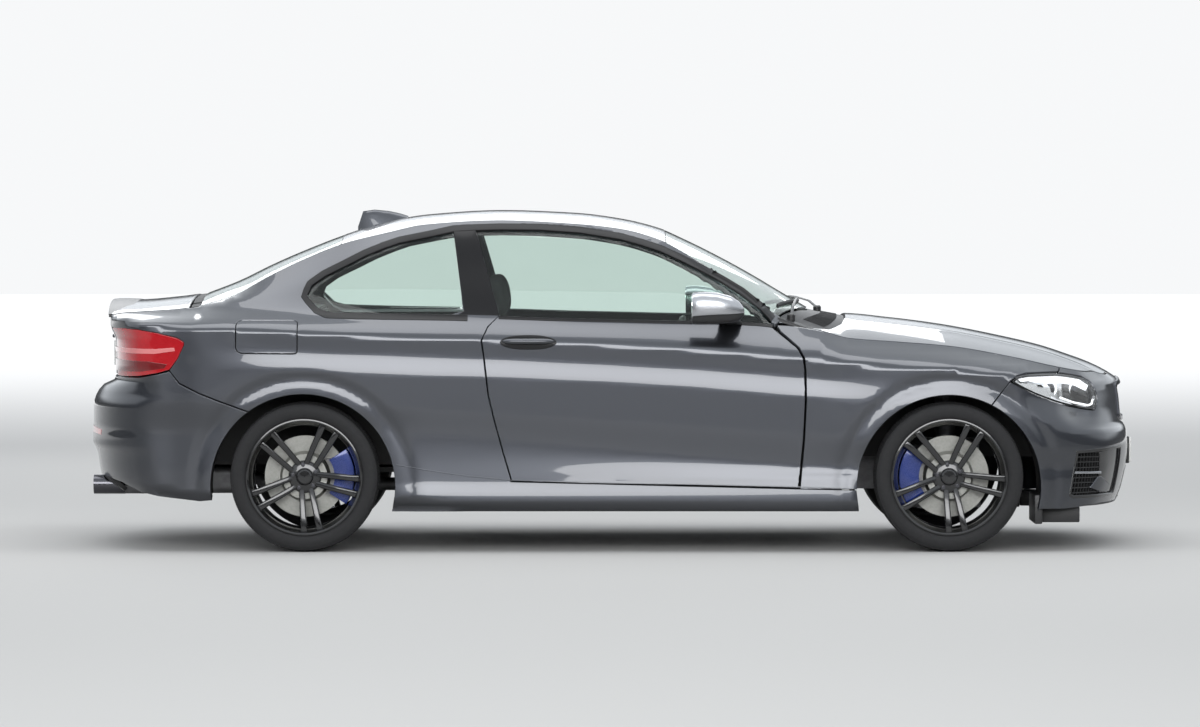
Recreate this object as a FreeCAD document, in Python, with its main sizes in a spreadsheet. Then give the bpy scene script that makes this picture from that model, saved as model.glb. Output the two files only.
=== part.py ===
# A two-door coupe car, full size, in millimetres: +X to the nose, +Y to the car's left, +Z up.
# The origin is on the ground, midway along the car's length.
import FreeCAD
import Part
import Sketcher
import math
import os

from FreeCAD import Placement, Rotation, Vector

doc = FreeCAD.newDocument("Coupe")

# Driving dimensions, one cell each
sizes = {
    "wheelbase": 2690, "front_overhang": 815, "rear_overhang": 945, "body_width": 1774,
    "roof_height": 1423, "track_front": 1520, "track_rear": 1514,
    "tyre_radius": 312, "tyre_width_front": 225, "tyre_width_rear": 245, "rim_radius": 243,
    "barrel_radius": 222, "spoke_depth": 34, "spoke_width": 26, "spoke_pairs": 5, "hub_radius": 66,
    "wheel_bore": 72.6,
    "disc_radius": 170, "disc_thickness": 26,
    "arch_radius": 385, "arch_drop": 42, "liner_thickness": 8, "front_well_inner": 428,
    "rear_well_inner": 575,
    "shut_gap": 6, "skin": 25, "sill_wall": 52,
    "door_step": 15, "door_card": 44, "glass_thickness": 5, "seat_gap": 0.3,
    "roof_thickness": 30, "floor_thickness": 32, "floor_height": 190,
    "hinge_setback": 96, "hinge_inset": 26, "hinge_pin": 7, "hinge_clearance": 0.3,
    "kingpin_offset": 62, "kingpin_radius": 14,
    "seat_width": 500, "seat_x": 60, "seat_offset": 365,
    "steering_rim": 185, "steering_grip": 15,
    "engine_length": 640, "engine_width": 560, "engine_height": 560,
    "exhaust_radius": 28, "tailpipe_radius": 40, "plate_length": 520, "plate_height": 110,
    "plate_screws": 300, "plate_hole": 3,
}
sheet = doc.addObject("Spreadsheet::Sheet", "Dims")
for row, (alias, value) in enumerate(sizes.items(), 1):
    sheet.set(f"A{row}", alias)
    sheet.set(f"B{row}", str(value))
    sheet.setAlias(f"B{row}", alias)
doc.recompute()


def dim(alias):
    return float(sheet.get(alias))


# Places worked out from the driving dimensions
half = dim("body_width") / 2
nose_x = (dim("front_overhang") + dim("wheelbase") + dim("rear_overhang")) / 2
tail_x = -nose_x
front_axle = nose_x - dim("front_overhang")
rear_axle = tail_x + dim("rear_overhang")
gap = dim("shut_gap")
wheel_z = dim("tyre_radius")
arch_z = wheel_z - dim("arch_drop")
anchors = {"nose": nose_x, "front": front_axle, "rear": rear_axle, "tail": tail_x}
finished = []


def at(anchor, points):
    return [(anchor + dx, other) for dx, other in points]


# Side-view and plan-view outlines of the panels, x from an axle or the tail
door_outline = at(front_axle, [
    (-1886, 985), (-1922, 940), (-1949, 882), (-1940, 820), (-1920, 653), (-1895, 549), (-1861, 424),
    (-1824, 299), (-632, 269), (-611, 465), (-603, 632), (-605, 757), (-611, 807), (-636, 849),
    (-674, 882), (-715, 915), (-757, 960),
])
door_window = at(front_axle, [
    (-784, 1010), (-868, 1077), (-952, 1127), (-1036, 1172), (-1121, 1214), (-1205, 1252), (-1289, 1279),
    (-1373, 1302), (-1541, 1329), (-1709, 1341), (-1878, 1341), (-1981, 1337), (-1973, 1310),
    (-1922, 1125), (-1877, 940), (-742, 940),
])
quarter_window = at(rear_axle, [
    (616, 1335), (660, 1003), (609, 974), (396, 982), (186, 990), (94, 993), (53, 1011), (5, 1066),
    (22, 1108), (77, 1147), (161, 1189), (245, 1232), (329, 1266), (392, 1287), (518, 1312),
])
fender_outline = at(front_axle, [
    (-616, 266), (-603, 465), (-595, 632), (-597, 757), (-603, 811), (-627, 853), (-664, 886),
    (-700, 917), (-715, 945), (-715, 1040), (470, 1040), (466, 752), (459, 750), (321, 748), (279, 737),
    (246, 705), (179, 620), (0, 270), (-200, 266),
])
lamp_outline = at(front_axle, [
    (258, 708), (279, 729), (321, 740), (383, 742), (459, 741), (572, 723), (613, 698), (634, 652),
    (638, 618), (626, 585), (572, 591), (509, 604), (425, 631), (341, 664),
])
hood_outline = at(front_axle, [
    (-403, 0), (-410, 250), (-434, 450), (-494, 620), (-575, 690), (-400, 690), (0, 690), (290, 690),
    (400, 690), (466, 697), (530, 610), (589, 512), (630, 380), (648, 150), (652, 0),
])
tail_lamp_outline = at(tail_x, [
    (20, 930), (179, 931), (250, 927), (334, 914), (418, 893), (445, 876), (445, 862), (418, 805),
    (384, 763), (334, 751), (250, 734), (170, 730), (20, 730),
])
rear_bumper_outline = at(tail_x, [
    (715, 575), (592, 627), (508, 660), (423, 702), (389, 756), (334, 745), (250, 728), (170, 724),
    (-30, 724), (-30, 180), (790, 180), (890, 330),
])
flap_outline = at(rear_axle, [
    (-30, 835), (-37, 829), (-50, 828), (-262, 830), (-278, 838), (-283, 852), (-283, 945), (-278, 958),
    (-262, 965), (-50, 964), (-37, 962), (-30, 956),
])

# Half sections of the lower body from tail to nose
body_columns = ("anchor", "offset", "side_in", "crease_in", "crease_z", "edge_in", "edge_z", "crown_z",
                "under_z")
body_table = [
    ("tail", -10, 45, 55, 940, 330, 985, 1034, 300),
    ("tail", 115, 45, 55, 940, 330, 985, 1034, 300),
    ("tail", 165, 42, 50, 948, 305, 992, 1036, 286),
    ("tail", 245, 40, 45, 948, 275, 998, 1040, 250),
    ("tail", 370, 35, 40, 938, 255, 1006, 1052, 228),
    ("rear", -420, 15, 18, 928, 235, 1022, 1068, 208),
    ("rear", -220, 5, 10, 920, 195, 1035, 1045, 205),
    ("rear", 0, 0, 8, 908, 150, 1002, 1007, 190),
    ("rear", 380, 9, 18, 892, 132, 985, 990, 181),
    ("rear", 814, 19, 27, 878, 122, 973, 978, 164),
    ("front", -1080, 25, 33, 838, 122, 952, 957, 158),
    ("front", -700, 25, 34, 808, 160, 945, 950, 156),
    ("front", -550, 24, 34, 797, 187, 925, 960, 156),
    ("front", -410, 21, 32, 785, 197, 888, 979, 158),
    ("front", -210, 14, 26, 768, 197, 873, 961, 160),
    ("front", 0, 8, 22, 757, 197, 856, 934, 160),
    ("nose", -525, 27, 42, 725, 197, 806, 878, 150),
    ("nose", -375, 59, 112, 690, 227, 772, 842, 133),
    ("nose", -265, 112, 240, 660, 310, 750, 806, 133),
    ("nose", -163, 180, 270, 652, 480, 733, 768, 136),
    ("nose", -73, 250, 330, 640, 560, 706, 720, 150),
    ("nose", 10, 330, 420, 600, 620, 640, 645, 170),
]

# Plan outlines of the two ends by height: how far out, how square the corner
end_columns = ("z", "reach", "square")
nose_table = [
    (60, -215, 2.5), (135, -165, 2.5), (170, -75, 2.5), (255, -32, 2.6), (430, -8, 2.6),
    (500, -16, 2.5), (520, -34, 2.4), (600, -30, 2.1), (690, -40, 2.0), (745, -105, 2.0),
    (800, -155, 2.0), (1100, -155, 2.0),
]
tail_table = [
    (60, 140, 2.6), (215, 135, 2.6), (300, 40, 2.6), (400, 22, 2.6), (440, 0, 2.6), (530, 7, 2.6),
    (600, 7, 2.6), (650, 25, 2.6), (690, 65, 2.8), (706, 105, 3.0), (760, 115, 3.5),
    (880, 113, 3.5), (940, 91, 3.5), (1100, 91, 4.0),
]

# Half sections of the roof and windows: centre height, then three (y, z) rails
glass_columns = ("anchor", "offset", "crown_z", "edge", "rail", "belt")
glass_table = [
    ("rear", -449, 1070, (640, 1024), (660, 1018), (690, 1008)),
    ("rear", -320, 1120, (600, 1062), (680, 1040), (715, 1018)),
    ("rear", -170, 1193, (575, 1143), (662, 1078), (732, 1016)),
    ("rear", -20, 1258, (555, 1216), (640, 1130), (742, 1010)),
    ("rear", 142, 1320, (545, 1281), (618, 1190), (752, 1002)),
    ("rear", 330, 1377, (545, 1328), (605, 1270), (758, 994)),
    ("rear", 500, 1405, (548, 1364), (600, 1313), (762, 988)),
    ("rear", 814, 1423, (552, 1381), (600, 1341), (765, 980)),
    ("front", -1560, 1411, (555, 1366), (604, 1329), (765, 970)),
    ("front", -1370, 1387, (556, 1345), (610, 1300), (762, 966)),
    ("front", -1200, 1345, (562, 1297), (620, 1249), (760, 962)),
    ("front", -1110, 1306, (575, 1250), (632, 1206), (756, 960)),
    ("front", -950, 1227, (602, 1149), (658, 1123), (748, 958)),
    ("front", -790, 1139, (632, 1044), (690, 1012), (735, 950)),
    ("front", -700, 1085, (650, 978), (700, 955), (722, 940)),
    ("front", -530, 985, (560, 965), (640, 950), (700, 930)),
]


def rows(columns, table):
    named = [dict(zip(columns, line)) for line in table]
    for row in named:
        if "anchor" in row:
            row["x"] = anchors[row["anchor"]] + row["offset"]
    return named


body_rows = rows(body_columns, body_table)
glass_rows = rows(glass_columns, glass_table)
lift = dim("roof_height") - 1423
for row in glass_rows:
    row["crown_z"] += lift
    for rail in ("edge", "rail"):
        row[rail] = (row[rail][0] + half - 887, row[rail][1] + lift)
    row["belt"] = (row["belt"][0] + half - 887, row["belt"][1])


def between(table, x):
    """The row of a section table at any x."""
    for low, high in zip(table, table[1:]):
        if low["x"] <= x <= high["x"]:
            t = (x - low["x"]) / (high["x"] - low["x"])
            mixed = {"x": x}
            for name, value in low.items():
                if isinstance(value, tuple):
                    mixed[name] = tuple(a + t * (b - a) for a, b in zip(value, high[name]))
                elif isinstance(value, (int, float)):
                    mixed[name] = value + t * (high[name] - value)
            return mixed
    raise ValueError(f"no section at {x}")


def span(table, x0, x1):
    inner = [row for row in table if x0 + 1 < row["x"] < x1 - 1]
    return [between(table, x0)] + inner + [between(table, x1)]


def ruled(wires):
    return Part.makeLoft(wires, True, True)


def wire_yz(points, x):
    return Part.makePolygon([Vector(x, y, z) for y, z in points + points[:1]])


def prism(points, plane, low, high):
    """A straight prism on an outline in a plane xz, xy or yz."""
    make = {"xz": lambda a, b: Vector(a, low, b), "xy": lambda a, b: Vector(a, b, low),
            "yz": lambda a, b: Vector(low, a, b)}[plane]
    run = {"xz": Vector(0, high - low, 0), "xy": Vector(0, 0, high - low),
           "yz": Vector(high - low, 0, 0)}[plane]
    outline = Part.makePolygon([make(a, b) for a, b in points + points[:1]])
    return Part.Face(outline).extrude(run)


def block(x0, x1, y0, y1, z0, z1):
    return Part.makeBox(x1 - x0, y1 - y0, z1 - z0, Vector(x0, y0, z0))


def rod(radius, start, run):
    return Part.makeCylinder(radius, Vector(*run).Length, Vector(*start), Vector(*run))


def mirrored(shape):
    return shape.mirror(Vector(0, 0, 0), Vector(0, 1, 0))


def grow(points, distance):
    """Moves every edge of an outline outward by the same distance."""
    area = sum(a[0] * b[1] - b[0] * a[1] for a, b in zip(points, points[1:] + points[:1]))
    side = distance if area > 0 else -distance
    lines = []
    for (ax, az), (bx, bz) in zip(points, points[1:] + points[:1]):
        length = math.hypot(bx - ax, bz - az)
        nx, nz = (bz - az) / length, (ax - bx) / length
        lines.append((ax + nx * side, az + nz * side, bx - ax, bz - az))
    moved = []
    for (px, pz, ux, uz), (qx, qz, vx, vz) in zip(lines[-1:] + lines[:-1], lines):
        cross = ux * vz - uz * vx
        if abs(cross) < 1e-6 * math.hypot(ux, uz) * math.hypot(vx, vz):
            moved.append((qx, qz))
            continue
        t = ((qx - px) * vz - (qz - pz) * vx) / cross
        moved.append((px + ux * t, pz + uz * t))
    return moved


def body_section(row, inset):
    side = half - row["side_in"] - inset
    under = row["under_z"] + inset
    edge_y = half - row["edge_in"] - 0.5 * inset
    edge_z = row["edge_z"] - inset
    crown = row["crown_z"] - inset
    return [
        (0, under), (side - 55, under), (side - 12, under + 45), (side - 12, max(295, under + 80)),
        (side - 16, max(385, under + 120)),
        (side, 580), (half - row["crease_in"] - inset, row["crease_z"] - 0.3 * inset),
        (edge_y, edge_z), (0.55 * edge_y, edge_z + 0.72 * (crown - edge_z)), (0, crown),
    ]


def end_plan(table, tip, start, direction, inset):
    """The rounded plan of the nose or tail, as a solid from well inside the car."""
    width = 874 + half - 887 - inset
    wires = []
    for z, reach, square in table:
        length = abs(tip + reach - start) - inset
        points = [(start - direction * 900, 0), (start - direction * 900, width + 60),
                  (start, width + 60)]
        for step in range(11):
            angle = math.radians(90 - 9 * step)
            out = start + direction * length * math.cos(angle) ** (2 / square)
            points.append((out, width * math.sin(angle) ** (2 / square)))
        points[-1] = (points[-1][0], 0)
        wires.append(Part.makePolygon([Vector(x, y, z) for x, y in points + points[:1]]))
    return ruled(wires)


nose_start = nose_x - 665
tail_start = tail_x + 585


hulls = {}


def hull(x0, x1, inset):
    """Half of the lower body's outer form between two stations, moved in by the inset."""
    if (x0, x1, inset) in hulls:
        return hulls[x0, x1, inset]
    solid = ruled([wire_yz(body_section(row, inset), row["x"]) for row in span(body_rows, x0, x1)])
    if x1 > nose_start:
        solid = solid.common(end_plan(nose_table, nose_x, nose_start, 1, inset))
    if x0 < tail_start:
        solid = solid.common(end_plan(tail_table, tail_x, tail_start, -1, inset))
    hulls[x0, x1, inset] = solid
    return solid


def glass_band(x0, x1, points):
    """A ruled strip through the roof and window sections."""
    return ruled([wire_yz(points(row), row["x"]) for row in span(glass_rows, x0, x1)])


def feature(name, shape):
    """One sub-part; slivers the cuts leave behind are dropped."""
    largest = max(solid.Volume for solid in shape.Solids)
    kept = [solid.removeSplitter() for solid in shape.Solids if solid.Volume > 0.02 * largest]
    item = doc.addObject("Part::Feature", name)
    item.Label = name
    item.Shape = kept[0] if len(kept) == 1 else Part.makeCompound(kept)
    finished.append(item)
    return item


def pair(name, shape):
    feature(name + "_left", shape)
    feature(name + "_right", mirrored(shape))



# Front panels
skin = dim("skin")
ring_end = rear_axle + 590
front_end = nose_x + 5
rear_end = tail_x - 5
front_split = front_axle - 760
front_shell = hull(front_split, front_end, 0).cut(hull(front_split - 1, front_end, skin))
well_inner = dim("front_well_inner")
arch_front = rod(dim("arch_radius"), (front_axle, well_inner, arch_z), (0, 560, 0))
well_front = arch_front.fuse(block(front_axle - 360, front_axle + 360, well_inner, 990, 0, arch_z - 130))
hood_cut = prism(grow(hood_outline, gap), "xy", 500, 1200)
cowl_cut = block(front_axle - 765, front_axle - 540, 0, 693, 850, 1060)
seat_gap = dim("seat_gap")
lamp_cut = prism(grow(lamp_outline, seat_gap), "xz", 300, 1000)
fender_cut = prism(grow(fender_outline, 4), "xz", 500, 1000)

fender = front_shell.common(prism(fender_outline, "xz", 690, 1000))
fender = fender.cut(hood_cut).cut(cowl_cut).cut(well_front)
fender = fender.cut(block(front_split, front_axle - 300, 0, 800, 0, 700))
pair("fender", fender)

# The plate stands 4 mm off the bumper, the openings go right through it
upper_grille = [(0, 545), (300, 545), (345, 560), (330, 668), (300, 680), (0, 690)]
lower_intake = [(0, 205), (380, 205), (400, 225), (360, 315), (330, 325), (0, 325)]
side_intake = [(535, 229), (735, 229), (752, 250), (748, 422), (520, 422), (528, 330)]
half_bumper = front_shell.common(block(front_axle, front_end, 0, 900, 60, 1000))
half_bumper = half_bumper.cut(fender_cut).cut(lamp_cut).cut(hood_cut).cut(well_front)
for opening in (upper_grille, lower_intake, side_intake):
    half_bumper = half_bumper.cut(prism(opening, "yz", nose_x - 330, nose_x + 50))
half_bumper = half_bumper.cut(block(front_axle - 1, front_axle + 200, -1, 430, 0, 260))
plate = dim("plate_length") / 2
front_plate = block(nose_x - 40, nose_x, 0, plate, 345, 345 + dim("plate_height")).cut(
    hull(nose_x - 100, front_end, skin - 1))
half_bumper = half_bumper.fuse(front_plate)
plate_bore = rod(dim("plate_hole"), (nose_x - 60, dim("plate_screws") / 2, 400), (100, 0, 0))
half_bumper = half_bumper.cut(plate_bore)
feature("front_bumper", half_bumper.fuse(mirrored(half_bumper)))

lamp = hull(nose_x - 640, front_end, 1).cut(hull(nose_x - 641, front_end, 70))
lamp = lamp.common(prism(lamp_outline, "xz", 480, 1000)).cut(hood_cut)
feature("headlamps", Part.makeCompound([lamp, mirrored(lamp)]))

mesh_layer = hull(nose_x - 330, front_end, skin + seat_gap).cut(hull(nose_x - 331, front_end, skin + 12))
mesh = [mesh_layer.common(prism(grow(opening, 14), "yz", nose_x - 330, nose_x + 50))
        for opening in (upper_grille, lower_intake)]
mesh = [item.fuse(mirrored(item)) for item in mesh]
side_mesh = mesh_layer.common(prism(grow(side_intake, 12), "yz", nose_x - 330, nose_x + 50))
side_mesh = side_mesh.cut(well_front)
feature("front_grilles", Part.makeCompound(mesh + [side_mesh, mirrored(side_mesh)]))

# The hood turns on two arms that reach back through slots in the cowl
hood_axis = (front_axle - 610, 930)
pin = dim("hinge_pin")
bore = pin + dim("hinge_clearance")
half_hood = front_shell.common(prism(hood_outline, "xy", 600, 1200))
arm = block(hood_axis[0], front_axle - 430, 640, 668, hood_axis[1] - 16, hood_axis[1] - 2)
arm = arm.fuse(rod(16, (hood_axis[0], 640, hood_axis[1]), (0, 28, 0)))
arm = arm.cut(rod(bore, (hood_axis[0], 630, hood_axis[1]), (0, 50, 0)))
half_hood = half_hood.fuse(arm)
feature("hood", half_hood.fuse(mirrored(half_hood)))

cowl = front_shell.common(block(front_axle - 745, front_axle - 300, 0, 687, 850, 1100))
cowl = cowl.cut(hood_cut).cut(block(hood_axis[0] - 26, front_axle - 400, 633, 675, 850, 1060))
cheeks = block(hood_axis[0] - 16, hood_axis[0] + 16, 618, 632, 890, 945)
cheeks = cheeks.fuse(block(hood_axis[0] - 16, hood_axis[0] + 16, 676, 687, 890, 935))
cheeks = cheeks.fuse(rod(pin, (hood_axis[0], 625, hood_axis[1]), (0, 56, 0)))
cheeks = cheeks.fuse(block(hood_axis[0] - 16, hood_axis[0] + 16, 618, 687, 886, 898))
rest_base = [(-700, 650), (-665, 560), (-620, 440), (-575, 250), (-560, 0)]
rest_back = [(dx - 26, y) for dx, y in rest_base[::-1]]
rest = glass_band(front_axle - 735, front_axle - 535, lambda row: [
    (0, 925), (row["edge"][0] - 6, 925), (row["edge"][0] - 6, row["edge"][1] - 8.3),
    (0.55 * row["edge"][0], row["edge"][1] + 0.72 * (row["crown_z"] - row["edge"][1]) - 8.3),
    (0, row["crown_z"] - 8.3)])
rest = rest.common(prism(at(front_axle, rest_base + rest_back), "xy", 900, 1200))
cowl = cowl.fuse(cheeks).fuse(rest)
feature("cowl_panel", cowl.fuse(mirrored(cowl)))
print("front panels done")

# Side walls, doors and their rings
mid_front = front_axle - 590
outer_mid = hull(ring_end - 150, mid_front, 0)
door_cut = prism(grow(door_outline, gap), "xz", 742, 1000)
hinge_x = front_axle - 603 - dim("hinge_setback")
hinge_y = half - 25 - dim("hinge_inset")
hinge_levels = (520, 720)

ring = outer_mid.cut(block(ring_end - 200, mid_front + 50, -10, 742 - dim("sill_wall"), 0, 1200))
ring = ring.cut(door_cut)
opening = [(x, z) for x, z in grow(door_outline, -62)]
ring = ring.cut(prism(opening, "xz", 600, 1000))
ring = ring.cut(block(ring_end + 120, front_axle - 700, 600, 760, 905, 1060))
ring = ring.cut(prism(grow(fender_outline, 4), "xz", 742, 1000))
ring = ring.cut(block(front_axle - 704, mid_front + 50, 600, 1000, 864.7, 1060))
for level in hinge_levels:
    bracket = block(hinge_x - 12, hinge_x + 4, 735, hinge_y, level - 20, level - 2)
    bracket = bracket.fuse(block(hinge_x - 12, front_axle - 640, 712, 741, level - 24, level + 24))
    bracket = bracket.fuse(rod(pin + 2, (hinge_x, hinge_y, level - 20), (0, 0, 18)))
    ring = ring.fuse(bracket.fuse(rod(pin, (hinge_x, hinge_y, level - 4), (0, 0, 24))))

quarter_shell = hull(rear_end, ring_end + 10, 0).cut(hull(rear_end, ring_end + 11, skin))
lid_outline = at(tail_x, [(-20, 0), (-20, 520), (60, 548), (165, 575), (245, 606), (370, 626), (450, 632),
                          (450, 0)])
lid_front = tail_x + 450
lid_step, lid_edge = 960, 552
lid_region = prism(lid_outline, "xy", lid_step, 1200)
lid_region = lid_region.fuse(block(rear_end, lid_front, 0, lid_edge, 732, lid_step + 1))
lid_cut = prism(grow(lid_outline, gap), "xy", lid_step - gap, 1200)
lid_cut = lid_cut.fuse(block(rear_end, lid_front + gap, 0, lid_edge + gap, 722, lid_step))
lid_gap = 10
shelf_cut = block(lid_front, rear_axle + 700, 0, 636, 900, 1200)
well_rear = rod(dim("arch_radius"), (rear_axle - 6, dim("rear_well_inner"), arch_z + 4), (0, 400, 0))
well_rear = well_rear.fuse(block(rear_axle - 350, rear_axle + 350, dim("rear_well_inner"), 980, 0,
                                 arch_z - 130))
bumper_cut = prism(grow(rear_bumper_outline, 4), "xz", 0, 1000)
tail_lamp_cut = prism(grow(tail_lamp_outline, seat_gap), "xz", 0, 1000)
quarter = quarter_shell.cut(lid_cut).cut(shelf_cut).cut(bumper_cut).cut(tail_lamp_cut).cut(door_cut)
quarter = quarter.cut(block(rear_end, ring_end, 0, 560, 0, 700))
quarter = quarter.cut(block(rear_end, ring_end, 0, 742 - dim("sill_wall") + seat_gap, 0, 330))


def frame_points(row):
    edge, rail, belt = row["edge"], row["rail"], row["belt"]
    return [(belt[0], belt[1] - 22), belt, rail, edge, (edge[0] - 14, edge[1] - 34),
            (rail[0] - 36, rail[1] - 12), (belt[0] - 40, belt[1]), (belt[0] - 40, belt[1] - 22)]


frame_strip = glass_band(rear_axle - 449, front_axle - 724, frame_points)
frame_strip = frame_strip.cut(prism(grow(door_window, gap), "xz", 400, 1000))
frame_strip = frame_strip.cut(prism(quarter_window, "xz", 400, 1000))
frame_strip = frame_strip.cut(door_cut)
post = block(front_axle - 737, front_axle - 716, 690, 742, 900, 962)
side = ring.fuse(quarter).fuse(frame_strip).fuse(post).cut(well_rear).cut(bumper_cut)


def flap_layers(near, far):
    x0, x1 = rear_axle - 330, rear_axle + 20
    return hull(x0, x1, near).cut(hull(x0 - 1, x1 + 1, far))


flap_hole = prism(grow(flap_outline, 7), "xz", 600, 1000)
cup = flap_layers(20, 66).common(prism(grow(flap_outline, 15), "xz", 600, 1000))
cup = cup.cut(flap_layers(0, 56).common(flap_hole))
flap = flap_layers(0, 6).common(prism(flap_outline, "xz", 600, 1000))
flap_axis = (rear_axle - 42, half - 19)
for low in (850, 896):
    arm = block(flap_axis[0] - 12, flap_axis[0] + 2.5, flap_axis[1] - 55, flap_axis[1] + 2.5, low, low + 10)
    cup = cup.fuse(arm)
cup = cup.fuse(rod(2.5, (*flap_axis, 852), (0, 0, 52)))
barrel = block(flap_axis[0] - 5, flap_axis[0] + 5, flap_axis[1], flap_axis[1] + 8, 864, 892)
barrel = barrel.fuse(rod(5, (*flap_axis, 864), (0, 0, 28)))
flap = flap.fuse(barrel).cut(rod(2.8, (*flap_axis, 855), (0, 0, 46)))
side_left = side
side_right = side.cut(flap_hole.common(hull(rear_axle - 330, rear_axle + 20, -5))).fuse(cup)
feature("side_frame_left", side_left)
feature("side_frame_right", mirrored(side_right))
feature("fuel_flap", mirrored(flap))
print("side frames done")

# Doors with their glass and mirrors
inset_mid = hull(ring_end - 150, mid_front, skin - 8)
door_skin = outer_mid.cut(hull(ring_end - 151, mid_front + 1, skin)).common(
    prism(door_outline, "xz", 700, 1000))
door_core = inset_mid.common(prism(grow(door_outline, -dim("door_step")), "xz", 747, 1000))
door_core = door_core.cut(block(hinge_x - 20, front_axle, 700, 1000, 0, 1200))
hollow = hull(ring_end - 150, mid_front, dim("door_card")).common(
    prism(grow(door_outline, -85), "xz", 782, 1000)).common(block(ring_end, hinge_x - 60, 700, 900, 0, 900))
door = door_core.fuse(door_skin.cut(block(-2000, 2000, 0, 747, 0, 1200))).cut(hollow)
for level in hinge_levels:
    door = door.cut(block(hinge_x - 26, front_axle - 560, 700, hinge_y + 14, level - 26, level + 26))
    lug = rod(13, (hinge_x, hinge_y, level), (0, 0, 20))
    lug = lug.fuse(block(hinge_x - 40, hinge_x, hinge_y - 13, hinge_y + 11, level, level + 20))
    door = door.fuse(lug.cut(rod(bore, (hinge_x, hinge_y, level - 5), (0, 0, 30))))


def pane(near, far, drop):
    """Side glass: below the belt, up to the rail, and on towards the roof edge."""
    def points(row):
        (ry, rz), (by, bz), (ey, ez) = row["rail"], row["belt"], row["edge"]
        length = math.hypot(ry - by, rz - bz)
        uy, uz = (ry - by) / length, (rz - bz) / length
        low = (by - drop * uy, bz - drop * uz)
        top = (ry + 0.5 * (ey - ry), rz + 0.5 * (ez - rz))
        return [(low[0] - far * uz, low[1] + far * uy), (low[0] - near * uz, low[1] + near * uy),
                (ry - near * uz, rz + near * uy), (top[0] - near * uz, top[1] - near * 0.5),
                (top[0] - far * uz, top[1] - far * 0.5), (ry - far * uz, rz + far * uy)]
    return points


glass = dim("glass_thickness")
door_pane = glass_band(rear_axle + 640, front_axle - 735, pane(3, 3 + glass, 30))
door_pane = door_pane.common(prism(door_window, "xz", 400, 1000))
slot = glass_band(rear_axle + 640, front_axle - 735, pane(0, 6 + glass, 32))
door = door.cut(slot)

mirror_x = front_axle - 1080
mirror_arm = block(mirror_x + 100, mirror_x + 180, 753, 860, 925, 972)
head = [(822, 966), (842, 948), (940, 950), (955, 975), (957, 1040), (945, 1075), (840, 1078), (825, 1040)]
mirror_head = ruled([wire_yz([(888 + (y - 888) * share, 1012 + (z - 1012) * share) for y, z in head],
                             mirror_x + dx) for dx, share in ((0, 1), (90, 1), (170, 0.86), (205, 0.55))])
mirror_arm = mirror_arm.cut(hull(ring_end - 150, mid_front, -seat_gap))
mirror = mirror_arm.fuse(mirror_head).cut(block(mirror_x - 1, mirror_x + 8, 838, 946, 962, 1066))
pair("door", door)
pair("door_glass", door_pane)
pair("mirror", mirror)

quarter_pane = glass_band(rear_axle - 40, rear_axle + 690, pane(3, 3 + glass, 0))
quarter_pane = quarter_pane.common(prism(grow(quarter_window, -3), "xz", 400, 1000))
feature("quarter_windows", Part.makeCompound([quarter_pane, mirrored(quarter_pane)]))


# Roof and the two screens
def arc_points(row, drop, side_gap):
    y, z = row["edge"][0] - side_gap, row["edge"][1]
    return [(0, row["crown_z"] - drop), (0.5 * y, row["crown_z"] - 0.2 * (row["crown_z"] - z) - drop),
            (0.84 * y, row["crown_z"] - 0.62 * (row["crown_z"] - z) - drop), (y, z - drop)]


def shell_points(near, far, side_gap):
    def points(row):
        top, low = arc_points(row, near, side_gap), arc_points(row, far, side_gap)
        half_loop = top[::-1] + [(-y, z) for y, z in top[1:]]
        back = [(-y, z) for y, z in low[:0:-1]] + low
        return half_loop + back
    return points


roof_front = front_axle - 1180
roof_back = rear_axle + 142
roof = glass_band(roof_back, roof_front, shell_points(0, dim("roof_thickness"), seat_gap))
fin_rows = ((405, 18, 1370, 1392), (372, 25, 1366, 1408), (325, 26, 1360, 1421), (262, 22, 1340, 1425),
            (210, 10, 1330, 1416), (192, 4, 1322, 1350))
fin = ruled([wire_yz([(-w, low), (w, low), (w * 0.3, high), (-w * 0.3, high)], rear_axle + dx)
             for dx, w, low, high in fin_rows])
feature("roof_panel", roof.fuse(fin))

screen_outline = at(front_axle, [(-1178, 0), (-1178, 640), (-705, 640), (-668, 560), (-622, 440),
                                 (-577, 250), (-562, 0)])
screen = glass_band(roof_front + 3, front_axle - 545, shell_points(1, 8, 4))
screen_region = prism(screen_outline, "xy", 900, 1500)
feature("windscreen", screen.common(screen_region.fuse(mirrored(screen_region))))
feature("rear_window", glass_band(rear_axle - 446, roof_back - seat_gap, shell_points(1, 9, 4.6)))

# Deck shelf behind the rear seat, with the lid's hinge cheeks
lid_axis = (lid_front + 175, 1010)
shelf = hull(lid_front, rear_axle + 60, 0).cut(hull(lid_front - 1, rear_axle + 61, 12))
shelf = shelf.common(block(lid_front + lid_gap, rear_axle + 30, 0, 630, 960, 1200))
shelf = shelf.cut(block(lid_front, lid_front + 46, 500, 540, 960, 1100))
shelf = shelf.cut(glass_band(rear_axle - 449, roof_back, shell_points(-20, 9 + seat_gap, 3)))
for y in (488, 540):
    cheek = block(lid_axis[0] - 14, lid_axis[0] + 14, y, y + 12, lid_axis[1] - 12, lid_axis[1] + 60)
    shelf = shelf.fuse(cheek.common(hull(lid_front, rear_axle + 60, 2)))
shelf = shelf.fuse(rod(6, (lid_axis[0], 490, lid_axis[1]), (0, 60, 0)))
feature("rear_shelf", shelf.fuse(mirrored(shelf)))

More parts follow.
